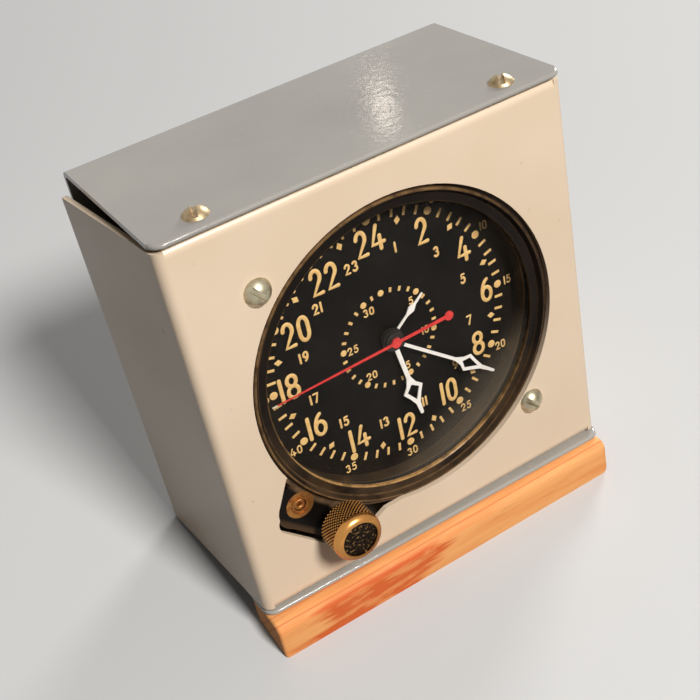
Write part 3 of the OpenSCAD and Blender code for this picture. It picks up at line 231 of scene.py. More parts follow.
print("floor", floor.dimensions.x, "m wide")

# %% [markdown]
# The world is the room beyond the floor. It has one plain colour, at the pale level for rays that
# see it and at the dim one for light that falls on the clock.

# %% World
world = bpy.data.worlds.new("studio")
scene.world = world
world.use_nodes = True
tree = world.node_tree
tree.nodes["Background"].inputs["Color"].default_value = hex_colour("FFFEFC")
level = add_node(tree, "ShaderNodeMath", {0: seen_rays(tree), 1: PALE - DIM, 2: DIM},
                 operation="MULTIPLY_ADD").outputs[0]
tree.links.new(level, tree.nodes["Background"].inputs["Strength"])
print("world", world.name)

# %% [markdown]
# The front shell is sheet steel, sprayed with a semi-gloss cream enamel. Sprayed paint is never
# quite flat: it has a fine orange-peel ripple about a millimetre across, its tone drifts a little
# over the panel, and years of handling leave small brown flecks and a rubbed, duller patch or two.

# %% Cream enamel of the front shell
cream, tree, shader, place = start_finish("cream_enamel_sprayed")
drift = add_node(tree, "ShaderNodeTexNoise", {"Vector": place, "Scale": per_mm(45), "Detail": 3}).outputs[0]
drift = add_node(tree, "ShaderNodeMapRange", {"Value": drift, "From Min": 0.35, "From Max": 0.65}).outputs[0]
tone = add_node(tree, "ShaderNodeMix", {0: drift, 6: hex_colour("DFC6A8"), 7: hex_colour("E7CFB3")},
                data_type="RGBA").outputs[2]
fleck = add_node(tree, "ShaderNodeTexNoise", {"Vector": place, "Scale": per_mm(3.2), "Detail": 2}).outputs[0]
fleck = add_node(tree, "ShaderNodeMapRange", {"Value": fleck, "From Min": 0.74, "From Max": 0.80,
                 "To Max": 0.5}).outputs[0]
tone = add_node(tree, "ShaderNodeMix", {0: fleck, 6: tone, 7: hex_colour("8E6B47")}, data_type="RGBA").outputs[2]
tree.links.new(tone, shader.inputs["Base Color"])
rub = add_node(tree, "ShaderNodeMapRange", {"Value": drift, "To Min": 0.30, "To Max": 0.40}).outputs[0]
tree.links.new(rub, shader.inputs["Roughness"])
peel = add_node(tree, "ShaderNodeTexNoise", {"Vector": place, "Scale": per_mm(1.3), "Detail": 1}).outputs[0]
peel = add_node(tree, "ShaderNodeBump", {"Height": peel, "Strength": 0.06, "Distance": 0.2 * MM}).outputs[0]
tree.links.new(peel, shader.inputs["Normal"])
print(cream.name)

# %% [markdown]
# The cover is the same sheet steel in a blue-grey machine enamel, glossy enough to show the lamp as
# a soft glint that the ripple of the sprayed paint breaks up. Its tone drifts a little over the
# sheet, and it carries pale dust. Real dust is finer: here a grain is about a millimetre wide, so
# that it shows.

# %% Blue-grey enamel of the cover
grey, tree, shader, place = start_finish("blue_grey_enamel_sprayed", Roughness=0.11)
drift = add_node(tree, "ShaderNodeTexNoise", {"Vector": place, "Scale": per_mm(38), "Detail": 3}).outputs[0]
drift = add_node(tree, "ShaderNodeMapRange", {"Value": drift, "From Min": 0.3, "From Max": 0.7}).outputs[0]
tone = add_node(tree, "ShaderNodeMix", {0: drift, 6: hex_colour("9D9890"), 7: hex_colour("AAA59C")},
                data_type="RGBA").outputs[2]
dust = add_node(tree, "ShaderNodeTexNoise", {"Vector": place, "Scale": per_mm(1.1), "Detail": 2}).outputs[0]
dust = add_node(tree, "ShaderNodeMapRange", {"Value": dust, "From Min": 0.70, "From Max": 0.76,
                "To Max": 0.4}).outputs[0]
tone = add_node(tree, "ShaderNodeMix", {0: dust, 6: tone, 7: hex_colour("D8D2C6")}, data_type="RGBA").outputs[2]
tree.links.new(tone, shader.inputs["Base Color"])
peel = add_node(tree, "ShaderNodeTexNoise", {"Vector": place, "Scale": per_mm(1.6), "Detail": 1}).outputs[0]
peel = add_node(tree, "ShaderNodeBump", {"Height": peel, "Strength": 0.12, "Distance": 0.2 * MM}).outputs[0]
tree.links.new(peel, shader.inputs["Normal"])
print(grey.name)

# %% [markdown]
# The foot is a sawn and sanded strip of softwood under a clear oil: pale orange, with thin red lines
# of late wood and one red painted contact shadow along its upper front edge, and one broad tongue of
# red heartwood that runs out at the front in slanting flames. A noise that is stretched along the
# strip gives the grain.

# %% Grain of the foot
FOOT_LOW, FOOT_HIGH = clock_box("wood_foot")
wood, tree, shader, place = start_finish("oiled_softwood_sawn", Roughness=0.65, Specular_IOR_Level=0.3)
along = add_node(tree, "ShaderNodeMapping", {"Vector": place, "Rotation": (0.3, 0, 0.06),
                 "Scale": (0.08, 1, 1)}).outputs["Vector"]
grain = add_node(tree, "ShaderNodeTexNoise", {"Vector": along, "Scale": per_mm(2.2), "Detail": 4}).outputs[0]
late = add_node(tree, "ShaderNodeMapRange", {"Value": grain, "From Min": 0.42, "From Max": 0.68}).outputs[0]
tone = add_node(tree, "ShaderNodeMix", {0: late, 6: hex_colour("F5AC69"), 7: hex_colour("ED9857")},
                data_type="RGBA").outputs[2]
print(wood.name, "foot", [round(v, 1) for v in FOOT_HIGH - FOOT_LOW], "mm")

# %% [markdown]
# The tongue of heartwood is a band across the strip that leans with the height. The grain shifts its
# edges far along the strip, so that they fray, and carries the whole band to the left. A finer,
# slanting noise breaks it up into flames. It stops just below the strip's upper edge.

# %% Heartwood of the foot
HEART_LEAN, HEART_FRAY, HEART_LEFT = -1.1, 34, 5
HEART_FULL, HEART_FADE = 14, 19
HEART_TOP, HEART_BELOW = 0.5, 1.6
HEART_MID = HEART_LEAN * (FOOT_LOW.y + FOOT_HIGH.y) / 2 - HEART_LEFT
axes = add_node(tree, "ShaderNodeSeparateXYZ", {"Vector": place}).outputs
fray = add_node(tree, "ShaderNodeMath", {0: grain, 1: HEART_FRAY * MM, 2: axes[0]},
                operation="MULTIPLY_ADD").outputs[0]
slant = add_node(tree, "ShaderNodeMath", {0: axes[1], 1: HEART_LEAN, 2: fray},
                 operation="MULTIPLY_ADD").outputs[0]
heart = add_node(tree, "ShaderNodeMath", {0: slant, 1: HEART_MID * MM}, operation="SUBTRACT").outputs[0]
heart = add_node(tree, "ShaderNodeMath", {0: heart}, operation="ABSOLUTE").outputs[0]
heart = add_node(tree, "ShaderNodeMapRange", {"Value": heart, "From Min": HEART_FADE * MM,
                 "From Max": HEART_FULL * MM}).outputs[0]
front = add_node(tree, "ShaderNodeMapRange", {"Value": axes[1], "From Min": (FOOT_HIGH.y - HEART_TOP) * MM,
                 "From Max": (FOOT_HIGH.y - HEART_BELOW) * MM}).outputs[0]
heart = add_node(tree, "ShaderNodeMath", {0: heart, 1: front}, operation="MULTIPLY").outputs[0]
flame = add_node(tree, "ShaderNodeMapping", {"Vector": place, "Rotation": (0, 0, -0.32),
                 "Scale": (0.2, 1, 1)}).outputs["Vector"]
flame = add_node(tree, "ShaderNodeTexNoise", {"Vector": flame, "Scale": per_mm(1.8), "Detail": 5}).outputs[0]
flame = add_node(tree, "ShaderNodeMapRange", {"Value": flame, "From Min": 0.4, "From Max": 0.5,
                 "To Min": 0.45}).outputs[0]
heart = add_node(tree, "ShaderNodeMath", {0: heart, 1: flame}, operation="MULTIPLY").outputs[0]
tone = add_node(tree, "ShaderNodeMix", {0: heart, 6: tone, 7: hex_colour("DA6631")}, data_type="RGBA").outputs[2]
print("heartwood", 2 * HEART_FADE, "mm long on the front")

# %% [markdown]
# The thin lines lie at 45 degrees in the strip: height minus depth tells one from the next. Two are
# growth rings; the third, furthest back, lies where the grey sheet rests on the wood and is a painted
# contact shadow. The grain shifts them a little, by half of the shift on average, so that they waver.

# %% Growth rings and painted contact shadow of the foot
RING_SHIFT = 1.6
across = add_node(tree, "ShaderNodeMath", {0: axes[1], 1: axes[2]}, operation="SUBTRACT").outputs[0]
across = add_node(tree, "ShaderNodeMath", {0: grain, 1: RING_SHIFT * MM, 2: across},
                  operation="MULTIPLY_ADD").outputs[0]
# The line furthest back (4.3) is a painted contact shadow where the grey sheet rests on the wood; the other two
# are growth rings.
for behind, half, fade in ((1.0, 0.4, 0.7), (4.3, 0.35, 0.6), (-1.9, 0.2, 0.3)):
    middle = FOOT_HIGH.y - FOOT_HIGH.z + behind + RING_SHIFT / 2
    line = add_node(tree, "ShaderNodeMath", {0: across, 1: middle * MM}, operation="SUBTRACT").outputs[0]
    line = add_node(tree, "ShaderNodeMath", {0: line}, operation="ABSOLUTE").outputs[0]
    line = add_node(tree, "ShaderNodeMapRange", {"Value": line, "From Min": half * MM, "From Max": 0,
                    "To Max": fade}).outputs[0]
    tone = add_node(tree, "ShaderNodeMix", {0: line, 6: tone, 7: hex_colour("CF5E34")},
                    data_type="RGBA").outputs[2]
    print("ring", 2 * half, "mm wide")

# %% [markdown]
# Sanding leaves the pores open, as short dark dashes along the grain that are also a little sunk.

# %% Pores of the foot
pores = add_node(tree, "ShaderNodeTexNoise", {"Vector": along, "Scale": per_mm(0.7), "Detail": 3}).outputs[0]
dark = add_node(tree, "ShaderNodeMapRange", {"Value": pores, "From Min": 0.58, "From Max": 0.76,
                "To Max": 0.35}).outputs[0]
tone = add_node(tree, "ShaderNodeMix", {0: dark, 6: tone, 7: hex_colour("C8743E")}, data_type="RGBA").outputs[2]
tree.links.new(tone, shader.inputs["Base Color"])
ridge = add_node(tree, "ShaderNodeBump", {"Height": pores, "Strength": 0.2, "Distance": 0.12 * MM}).outputs[0]
tree.links.new(ridge, shader.inputs["Normal"])
print(wood.name, "with its pores")

# %% [markdown]
# The instrument's case is black stoving enamel on brass. A brown painted sheen, broken up by a soft
# noise, lies over the lower half of the rim in place of the lamp's reflection; the lug beside the
# knob stays black, but for a painted sheen along its outer edge. The distance from the dial's centre
# tells the rim from the lug, and a direction down the panel, a little to the left, tells the lower
# half from the upper.

# %% Black enamel of the case
case_top = clock_box("instrument_case")[1].z
RIM_EDGE = max(point.xy.length for point in clock_points("instrument_case") if point.z > case_top - 0.05)
RING_LIP = min(point.xy.length for point in clock_points("bezel_ring"))
FLANGE = RIM_EDGE + 2
DOWNWARD, OUT_ALONG_LUG = (-0.25, -0.97, 0), (-0.707, -0.707, 0)
LUG_SHEEN_FROM, LUG_EDGE = 47.6, 48.6
enamel, tree, shader, place = start_finish("black_enamel_stoved", Specular_IOR_Level=0.08)
axes = add_node(tree, "ShaderNodeSeparateXYZ", {"Vector": place}).outputs
flat = add_node(tree, "ShaderNodeCombineXYZ", {"X": axes[0], "Y": axes[1]}).outputs[0]
radius = add_node(tree, "ShaderNodeVectorMath", {0: flat}, operation="LENGTH").outputs["Value"]
patch = add_node(tree, "ShaderNodeTexNoise", {"Vector": place, "Scale": per_mm(11), "Detail": 3}).outputs[0]
downward = add_node(tree, "ShaderNodeVectorMath", {0: place, 1: DOWNWARD},
                    operation="DOT_PRODUCT").outputs["Value"]
# A brown painted sheen over the lower half of the rim, broken up by noise, stands in for the lamp's reflection.
dust_and_sheen = add_node(tree, "ShaderNodeMapRange", {"Value": patch, "From Min": 0.3, "From Max": 0.65}).outputs[0]
lower_sheen = add_node(tree, "ShaderNodeMapRange", {"Value": downward, "From Min": 0, "From Max": 36 * MM,
               "To Min": 0.1}).outputs[0]
dust_and_sheen = add_node(tree, "ShaderNodeMath", {0: dust_and_sheen, 1: lower_sheen}, operation="MULTIPLY").outputs[0]
inner = add_node(tree, "ShaderNodeMapRange", {"Value": radius, "From Min": (FLANGE + 0.8) * MM,
                 "From Max": FLANGE * MM}).outputs[0]
dust_and_sheen = add_node(tree, "ShaderNodeMath", {0: dust_and_sheen, 1: inner}, operation="MULTIPLY").outputs[0]
# A painted sheen along the lug's outer edge, in the same brown.
lug_edge_sheen = add_node(tree, "ShaderNodeVectorMath", {0: place, 1: OUT_ALONG_LUG},
                  operation="DOT_PRODUCT").outputs["Value"]
lug_edge_sheen = add_node(tree, "ShaderNodeMapRange", {"Value": lug_edge_sheen, "From Min": LUG_SHEEN_FROM * MM,
                  "From Max": LUG_EDGE * MM, "To Max": 0.8}).outputs[0]
dust_and_sheen = add_node(tree, "ShaderNodeMath", {0: dust_and_sheen, 1: lug_edge_sheen}, operation="MAXIMUM").outputs[0]
tone = add_node(tree, "ShaderNodeMix", {0: dust_and_sheen, 6: hex_colour("120E0B"), 7: hex_colour("4C3927")},
                data_type="RGBA").outputs[2]
print(enamel.name, "rim edge at", round(RIM_EDGE, 2), "mm, ring lip at", round(RING_LIP, 2), "mm")

# %% [markdown]
# On its outer edge the rim has worn through to a warm brown, and the lip of the ring that holds the
# glass to bare brass. Two more bands are painted light: a broad brown painted reflection on the rim's
# outer wall and a thin painted highlight on the ring's outer edge. All lie in bands round the dial's
# centre, so the distance from that centre says how near an edge is. A noise thins them out unevenly,
# they are weaker on the right than on the left, and each band has a share that is left at the top.

# %% Worn edges and painted light on the case
grit = add_node(tree, "ShaderNodeTexNoise", {"Vector": place, "Scale": per_mm(2.5), "Detail": 5}).outputs[0]
thin = add_node(tree, "ShaderNodeMapRange", {"Value": grit, "From Min": 0.32, "From Max": 0.58,
                "To Min": 0.3}).outputs[0]
right = add_node(tree, "ShaderNodeMapRange", {"Value": axes[0], "From Min": 38 * MM, "From Max": 12 * MM,
                 "To Min": 0.3}).outputs[0]
thin = add_node(tree, "ShaderNodeMath", {0: thin, 1: right}, operation="MULTIPLY").outputs[0]
# The bands: the rim's worn outer edge, a broad painted reflection on the rim's outer wall, a thin painted
# highlight at the glass seat's radius, and the bare brass lip.
for middle, half, colour, upper in (
        (RIM_EDGE - 0.05, 0.4, "8A6843", 0.8), (RIM_EDGE + 1.3, 1.2, "6A523B", 1.0),
        (RIM_R, 0.25, "6E5439", 0.5), (RING_LIP + 0.12, 0.3, "B58A55", 0.1)):
    edge = add_node(tree, "ShaderNodeMath", {0: radius, 1: middle * MM}, operation="SUBTRACT").outputs[0]
    edge = add_node(tree, "ShaderNodeMath", {0: edge}, operation="ABSOLUTE").outputs[0]
    edge = add_node(tree, "ShaderNodeMapRange", {"Value": edge, "From Min": half * MM,
                    "From Max": 0.4 * half * MM, "To Max": 0.95}).outputs[0]
    wear_and_painted_light = add_node(tree, "ShaderNodeMath", {0: thin, 1: edge}, operation="MULTIPLY").outputs[0]
    share = add_node(tree, "ShaderNodeMapRange", {"Value": downward, "From Min": 0, "From Max": 30 * MM,
                     "To Min": upper}).outputs[0]
    wear_and_painted_light = add_node(tree, "ShaderNodeMath", {0: wear_and_painted_light, 1: share}, operation="MULTIPLY").outputs[0]
    tone = add_node(tree, "ShaderNodeMix", {0: wear_and_painted_light, 6: tone, 7: hex_colour(colour)},
                    data_type="RGBA").outputs[2]
    print("worn band", 2 * half, "mm wide at", round(middle, 2), "mm")
tree.links.new(tone, shader.inputs["Base Color"])
gloss = add_node(tree, "ShaderNodeMapRange", {"Value": patch, "To Min": 0.18, "To Max": 0.4}).outputs[0]
tree.links.new(gloss, shader.inputs["Roughness"])
chips = add_node(tree, "ShaderNodeBump", {"Height": grit, "Strength": 0.05, "Distance": 0.2 * MM}).outputs[0]
tree.links.new(chips, shader.inputs["Normal"])

# %% [markdown]
# The dial is a brass disc with a dense matt black lacquer. It goes a little brown towards its edge,
# in a cloudy pattern, and it has a faint speckle of dust, drawn coarser than the real one so that it
# shows.

# %% Black lacquer of the dial
BROWN_FROM, BROWN_FULL = 30, 37
lacquer, tree, shader, place = start_finish("black_dial_lacquer", Roughness=0.6, Specular_IOR_Level=0.1)
radius = add_node(tree, "ShaderNodeVectorMath", {0: place}, operation="LENGTH").outputs["Value"]
cloud = add_node(tree, "ShaderNodeTexNoise", {"Vector": place, "Scale": per_mm(9), "Detail": 4}).outputs[0]
brown = add_node(tree, "ShaderNodeMapRange", {"Value": radius, "From Min": BROWN_FROM * MM,
                 "From Max": BROWN_FULL * MM, "To Max": 0.3}).outputs[0]
brown = add_node(tree, "ShaderNodeMath", {0: brown, 1: cloud}, operation="MULTIPLY").outputs[0]
tone = add_node(tree, "ShaderNodeMix", {0: brown, 6: hex_colour("0D0B0A"), 7: hex_colour("3A2A1D")},
                data_type="RGBA").outputs[2]
speck = add_node(tree, "ShaderNodeTexNoise", {"Vector": place, "Scale": per_mm(0.9), "Detail": 2}).outputs[0]
speck = add_node(tree, "ShaderNodeMapRange", {"Value": speck, "From Min": 0.72, "From Max": 0.80,
                 "To Max": 0.3}).outputs[0]
tone = add_node(tree, "ShaderNodeMix", {0: speck, 6: tone, 7: hex_colour("6E6250")}, data_type="RGBA").outputs[2]
tree.links.new(tone, shader.inputs["Base Color"])
print(lacquer.name)

# %% [markdown]
# The numerals are filled with an old luminous paint that has aged to the colour of straw. It is
# laid on thick, so it stands up from the dial with a soft grainy skin. The hands are a whiter paint
# with black hubs, and the seconds hand is red with a short cream end: there the distance from the
# axis, inside or beyond a given radius, picks the second colour.

# %% Dial and hand paints
HUB_R, RED_END_R = 2.95, 32.2
second_colour = {"white_hand_paint": ("LESS_THAN", HUB_R, "1B1714"),
                 "red_hand_paint": ("GREATER_THAN", RED_END_R, "F2E3C8")}
paints = {}
for name, light, deep in (("luminous_paint_aged", "F3C77F", "E0AF69"),
                          ("white_hand_paint", "FFF8EE", "F8EDDF"), ("red_hand_paint", "E6413A", "C42A2B")):
    paint, tree, shader, place = start_finish(name, Roughness=0.6)
    grain = add_node(tree, "ShaderNodeTexNoise", {"Vector": place, "Scale": per_mm(1.2),
                     "Detail": 4}).outputs[0]
    shade = add_node(tree, "ShaderNodeMapRange", {"Value": grain, "From Min": 0.4, "From Max": 0.75}).outputs[0]
    tone = add_node(tree, "ShaderNodeMix", {0: shade, 6: hex_colour(light), 7: hex_colour(deep)},
                    data_type="RGBA").outputs[2]
    if name in second_colour:
        side, edge, colour = second_colour[name]
        axes = add_node(tree, "ShaderNodeSeparateXYZ", {"Vector": place}).outputs
        flat = add_node(tree, "ShaderNodeCombineXYZ", {"X": axes[0], "Y": axes[1]}).outputs[0]
        radius = add_node(tree, "ShaderNodeVectorMath", {0: flat}, operation="LENGTH").outputs["Value"]
        part = add_node(tree, "ShaderNodeMath", {0: radius, 1: edge * MM}, operation=side).outputs[0]
        tone = add_node(tree, "ShaderNodeMix", {0: part, 6: tone, 7: hex_colour(colour)},
                        data_type="RGBA").outputs[2]
    tree.links.new(tone, shader.inputs["Base Color"])
    skin = add_node(tree, "ShaderNodeBump", {"Height": grain, "Strength": 0.2, "Distance": 0.1 * MM}).outputs[0]
    tree.links.new(skin, shader.inputs["Normal"])
    paints[name] = paint
    print(paint.name)

# %% [markdown]
# The metals differ in how their surfaces were made: turned brass has a warm tarnish, the brass of
# the inserts is stained red, the steel arbors are ground, the springs and screws are blued by heat,
# the panel screws are nickelled and the cover screws gilt. They share one recipe: the colour of the
# clean metal, which is the colour of its reflections, a darker tarnish in a soft pattern, and a
# roughness that follows it. The marks of the tool are drawn coarser than real ones, so that they show.

# %% Metals
metals = {}
for name, clean, tarnish, rough, size in (
        ("brass_turned", "C4945A", "9A6B42", 0.32, 2.4), ("brass_stained", "BC8749", "91492D", 0.45, 1.5),
        ("steel_ground", "B9B6B0", "98938C", 0.28, 3), ("steel_blued", "37466F", "1D2238", 0.25, 3),
        ("nickel_plate_worn", "C9BFA4", "857A61", 0.34, 2.2),
        ("gilt_plate_dull", "C2AB86", "7C6647", 0.38, 2.2)):
    metal, tree, shader, place = start_finish(name, Metallic=1.0)
    spots = add_node(tree, "ShaderNodeTexNoise", {"Vector": place, "Scale": per_mm(size),
                     "Detail": 5}).outputs[0]
    dull = add_node(tree, "ShaderNodeMapRange", {"Value": spots, "From Min": 0.42, "From Max": 0.75}).outputs[0]
    tone = add_node(tree, "ShaderNodeMix", {0: dull, 6: hex_colour(clean), 7: hex_colour(tarnish)},
                    data_type="RGBA").outputs[2]
    tree.links.new(tone, shader.inputs["Base Color"])
    haze = add_node(tree, "ShaderNodeMapRange", {"Value": spots, "To Min": rough - 0.1,
                    "To Max": rough + 0.2}).outputs[0]
    tree.links.new(haze, shader.inputs["Roughness"])
    tool = add_node(tree, "ShaderNodeTexNoise", {"Vector": place, "Scale": per_mm(0.35),
                    "Detail": 2}).outputs[0]
    tool = add_node(tree, "ShaderNodeBump", {"Height": tool, "Strength": 0.08,
                    "Distance": 0.05 * MM}).outputs[0]
    tree.links.new(tool, shader.inputs["Normal"])
    metals[name] = metal
    print(metal.name)

# %% [markdown]
# The knob is the most handled piece, so its brass is bright where fingers rub and dark where they
# cannot reach: in the grooves of the knurl, where the dark is tarnish and painted shade together, and
# over the sunk end. Both follow the distance from the knob's own axis, which is where its joint
# turns. The lower side is painted browner, as a painted shade that stands for a dark reflection.

# %% Bright and stained brass of the knob
knob_turn = next(joint for joint in frame["joints"] if joint["name"] == "knob_turn")
KNOB_MID = TO_MM @ Vector(knob_turn["pos_m"])
KNOB_R = (clock_box("knob")[1].x - clock_box("knob")[0].x) / 2
KNURL_CUT, END_R, SHOULDER = 0.36, 4.5, 2.0
SHADED_SIDE = (0.5, -0.86, 0)
knob_brass, tree, shader, place = start_finish("brass_knurled", Metallic=1.0)
from_axis = add_node(tree, "ShaderNodeVectorMath", {0: place, 1: KNOB_MID * MM},
                     operation="SUBTRACT").outputs[0]
axes = add_node(tree, "ShaderNodeSeparateXYZ", {"Vector": from_axis}).outputs
flat = add_node(tree, "ShaderNodeCombineXYZ", {"X": axes[0], "Y": axes[1]}).outputs[0]
radius = add_node(tree, "ShaderNodeVectorMath", {0: flat}, operation="LENGTH").outputs["Value"]
# Tarnish and painted shade in the grooves of the knurl, by depth below the tops.
groove_tarnish_and_shade = add_node(tree, "ShaderNodeMapRange", {"Value": radius, "From Min": (KNOB_R - 0.1) * MM,
                  "From Max": (KNOB_R - 0.75 * KNURL_CUT) * MM}).outputs[0]
drum = add_node(tree, "ShaderNodeMath", {0: axes[2], 1: (clock_box("knob")[1].z - SHOULDER + 0.05) * MM},
                operation="LESS_THAN").outputs[0]
groove_tarnish_and_shade = add_node(tree, "ShaderNodeMath", {0: groove_tarnish_and_shade, 1: drum}, operation="MULTIPLY").outputs[0]
tone = add_node(tree, "ShaderNodeMix", {0: groove_tarnish_and_shade, 6: hex_colour("E0A058"), 7: hex_colour("2E180A")},
                data_type="RGBA").outputs[2]
# Painted shade: the lower side of the knob is painted browner, for a dark reflection.
lower_side_shade = add_node(tree, "ShaderNodeVectorMath", {0: flat, 1: SHADED_SIDE},
                 operation="DOT_PRODUCT").outputs["Value"]
lower_side_shade = add_node(tree, "ShaderNodeMapRange", {"Value": lower_side_shade, "From Min": -4 * MM, "From Max": 5 * MM,
                 "To Max": 0.85}).outputs[0]
tone = add_node(tree, "ShaderNodeMix", {0: lower_side_shade, 6: tone, 7: hex_colour("7E4E28")}, data_type="RGBA").outputs[2]
print(knob_brass.name, "knob radius", round(KNOB_R, 2), "mm")

# %% [markdown]
# The knob's sunk end is a rough cast ground, filled with old dirt: only the tops of its grains are
# still brass. One noise gives both the colour and the bump, so that the bright tops stand up.

# %% Sunk end of the knob
fleck = add_node(tree, "ShaderNodeTexNoise", {"Vector": place, "Scale": per_mm(0.7), "Detail": 4}).outputs[0]
relief = add_node(tree, "ShaderNodeMapRange", {"Value": fleck, "From Min": 0.56, "From Max": 0.66}).outputs[0]
end = add_node(tree, "ShaderNodeMix", {0: relief, 6: hex_colour("241A12"), 7: hex_colour("9C7A4C")},
               data_type="RGBA").outputs[2]
sunk = add_node(tree, "ShaderNodeMath", {0: radius, 1: END_R * MM}, operation="LESS_THAN").outputs[0]
tone = add_node(tree, "ShaderNodeMix", {0: sunk, 6: tone, 7: end}, data_type="RGBA").outputs[2]
tree.links.new(tone, shader.inputs["Base Color"])
rough = add_node(tree, "ShaderNodeMath", {0: sunk, 1: 0.12, 2: 0.24}, operation="MULTIPLY_ADD").outputs[0]
tree.links.new(rough, shader.inputs["Roughness"])
pits = add_node(tree, "ShaderNodeMath", {0: fleck, 1: sunk}, operation="MULTIPLY").outputs[0]
pits = add_node(tree, "ShaderNodeBump", {"Height": pits, "Strength": 0.6, "Distance": 0.5 * MM}).outputs[0]
tree.links.new(pits, shader.inputs["Normal"])
print("sunk end", 2 * END_R, "mm across")

# %% [markdown]
# The glass is a flat disc. It is drawn nearly clear, with the thin film of dust that old glass
# carries, thicker low down where it settles.

# %% Glass
DUST_FROM, DUST_FULL, DUST_WAY = 22, 38, (0.5, -0.85, 0)
glass, tree, shader, place = start_finish("flat_crown_glass", Roughness=0.04, IOR=1.52)
shader.inputs["Base Color"].default_value = hex_colour("B7A78F")
dust_and_sheen = add_node(tree, "ShaderNodeTexNoise", {"Vector": place, "Scale": per_mm(14), "Detail": 5}).outputs[0]
dust_and_sheen = add_node(tree, "ShaderNodeMapRange", {"Value": dust_and_sheen, "From Min": 0.35, "From Max": 0.7,
                "To Min": 0.004, "To Max": 0.011}).outputs[0]
settled = add_node(tree, "ShaderNodeVectorMath", {0: place, 1: DUST_WAY},
                   operation="DOT_PRODUCT").outputs["Value"]
settled = add_node(tree, "ShaderNodeMapRange", {"Value": settled, "From Min": DUST_FROM * MM,
                   "From Max": DUST_FULL * MM, "To Max": 0.12}).outputs[0]
dust_and_sheen = add_node(tree, "ShaderNodeMath", {0: dust_and_sheen, 1: settled}).outputs[0]
tree.links.new(dust_and_sheen, shader.inputs["Alpha"])
print(glass.name)

# %% [markdown]
# The gasket under the glass is moulded rubber with the grey bloom of age, which leaves it quite dull.
# The two stones of the lever are synthetic ruby, ground and polished, so they are smooth and bright.

# %% Gasket and stones
rubber, tree, shader, place = start_finish("moulded_rubber", Roughness=0.75)
bloom = add_node(tree, "ShaderNodeTexNoise", {"Vector": place, "Scale": per_mm(2), "Detail": 3}).outputs[0]
tone = add_node(tree, "ShaderNodeMix", {0: bloom, 6: hex_colour("181716"), 7: hex_colour("2C2A28")},
                data_type="RGBA").outputs[2]
tree.links.new(tone, shader.inputs["Base Color"])
ruby, tree, shader, place = start_finish("synthetic_ruby_polished", Roughness=0.08, IOR=1.77)
depth = add_node(tree, "ShaderNodeTexNoise", {"Vector": place, "Scale": per_mm(0.8), "Detail": 1}).outputs[0]
tone = add_node(tree, "ShaderNodeMix", {0: depth, 6: hex_colour("8F1226"), 7: hex_colour("B92A3C")},
                data_type="RGBA").outputs[2]
tree.links.new(tone, shader.inputs["Base Color"])
print(rubber.name, ruby.name)

# %% [markdown]
# Between the glass and the dial stands a ring whose wall is blackened, so that it throws no light on
# the dial. Only its top edge is bare brass, and shows as a thin bright line round the dial.

# %% Blackened ring under the glass
BARE_EDGE = 0.16
wall_finish, tree, shader, place = start_finish("brass_blackened", Roughness=0.4)
height = add_node(tree, "ShaderNodeSeparateXYZ", {"Vector": place}).outputs[2]
bare = add_node(tree, "ShaderNodeMath", {0: height, 1: (clock_box("dial_ring")[1].z - BARE_EDGE) * MM},
                operation="GREATER_THAN").outputs[0]
stain = add_node(tree, "ShaderNodeTexNoise", {"Vector": place, "Scale": per_mm(6), "Detail": 4}).outputs[0]
tone = add_node(tree, "ShaderNodeMix", {0: stain, 6: hex_colour("1B1613"), 7: hex_colour("4A3826")},
                data_type="RGBA").outputs[2]
tone = add_node(tree, "ShaderNodeMix", {0: bare, 6: tone, 7: hex_colour("B98F57")}, data_type="RGBA").outputs[2]
tree.links.new(tone, shader.inputs["Base Color"])
tree.links.new(bare, shader.inputs["Metallic"])
print(wall_finish.name)

# %% [markdown]
# The seconds hand was painted on its arbor, so the arbor's steel is red at the very tip.

# %% Arbor with a painted tip
tipped = metals["steel_ground"].copy()
tipped.name = "steel_ground_painted_tip"
tree = tipped.node_tree
shader = tree.nodes["Principled BSDF"]
place = next(node for node in tree.nodes if node.type == "MAPPING").outputs["Vector"]
height = add_node(tree, "ShaderNodeSeparateXYZ", {"Vector": place}).outputs[2]
tip = add_node(tree, "ShaderNodeMath", {0: height, 1: clock_box("seconds_hand")[0].z * MM},
               operation="GREATER_THAN").outputs[0]
steel = shader.inputs["Base Color"].links[0].from_socket
tone = add_node(tree, "ShaderNodeMix", {0: tip, 6: steel, 7: hex_colour("E6413A")}, data_type="RGBA").outputs[2]
tree.links.new(tone, shader.inputs["Base Color"])
bare = add_node(tree, "ShaderNodeMath", {0: 1.0, 1: tip}, operation="SUBTRACT").outputs[0]
tree.links.new(bare, shader.inputs["Metallic"])
print(tipped.name)

# %% [markdown]
# The record already says which pieces share a finish: each piece names a slot. The table below
# gives every slot its finish, so the whole movement behind the dial is dressed in one pass.

# %% Dress the CAD pieces
slot_finish = {
    "cream_paint": cream, "grey_paint": grey, "timber": wood, "gilt_screw": metals["gilt_plate_dull"],
    "nickel": metals["nickel_plate_worn"], "black_enamel": enamel, "brass": metals["brass_turned"],
    "knob_brass": knob_brass, "glass": glass, "rubber": rubber, "dial_black": lacquer,
    "steel": metals["steel_ground"], "blued_steel": metals["steel_blued"],
    "lume_paint": paints["white_hand_paint"], "red_paint": paints["red_hand_paint"], "ruby": ruby}
for subpart in frame["record"]["subparts"]:
    for slot in nodes[subpart["node"]].material_slots:
        slot.material = slot_finish[subpart["material_slot"]]
nodes["dial_ring"].material_slots[0].material = wall_finish
nodes["flange_inserts"].material_slots[0].material = metals["brass_stained"]
nodes["seconds_arbor"].material_slots[0].material = tipped

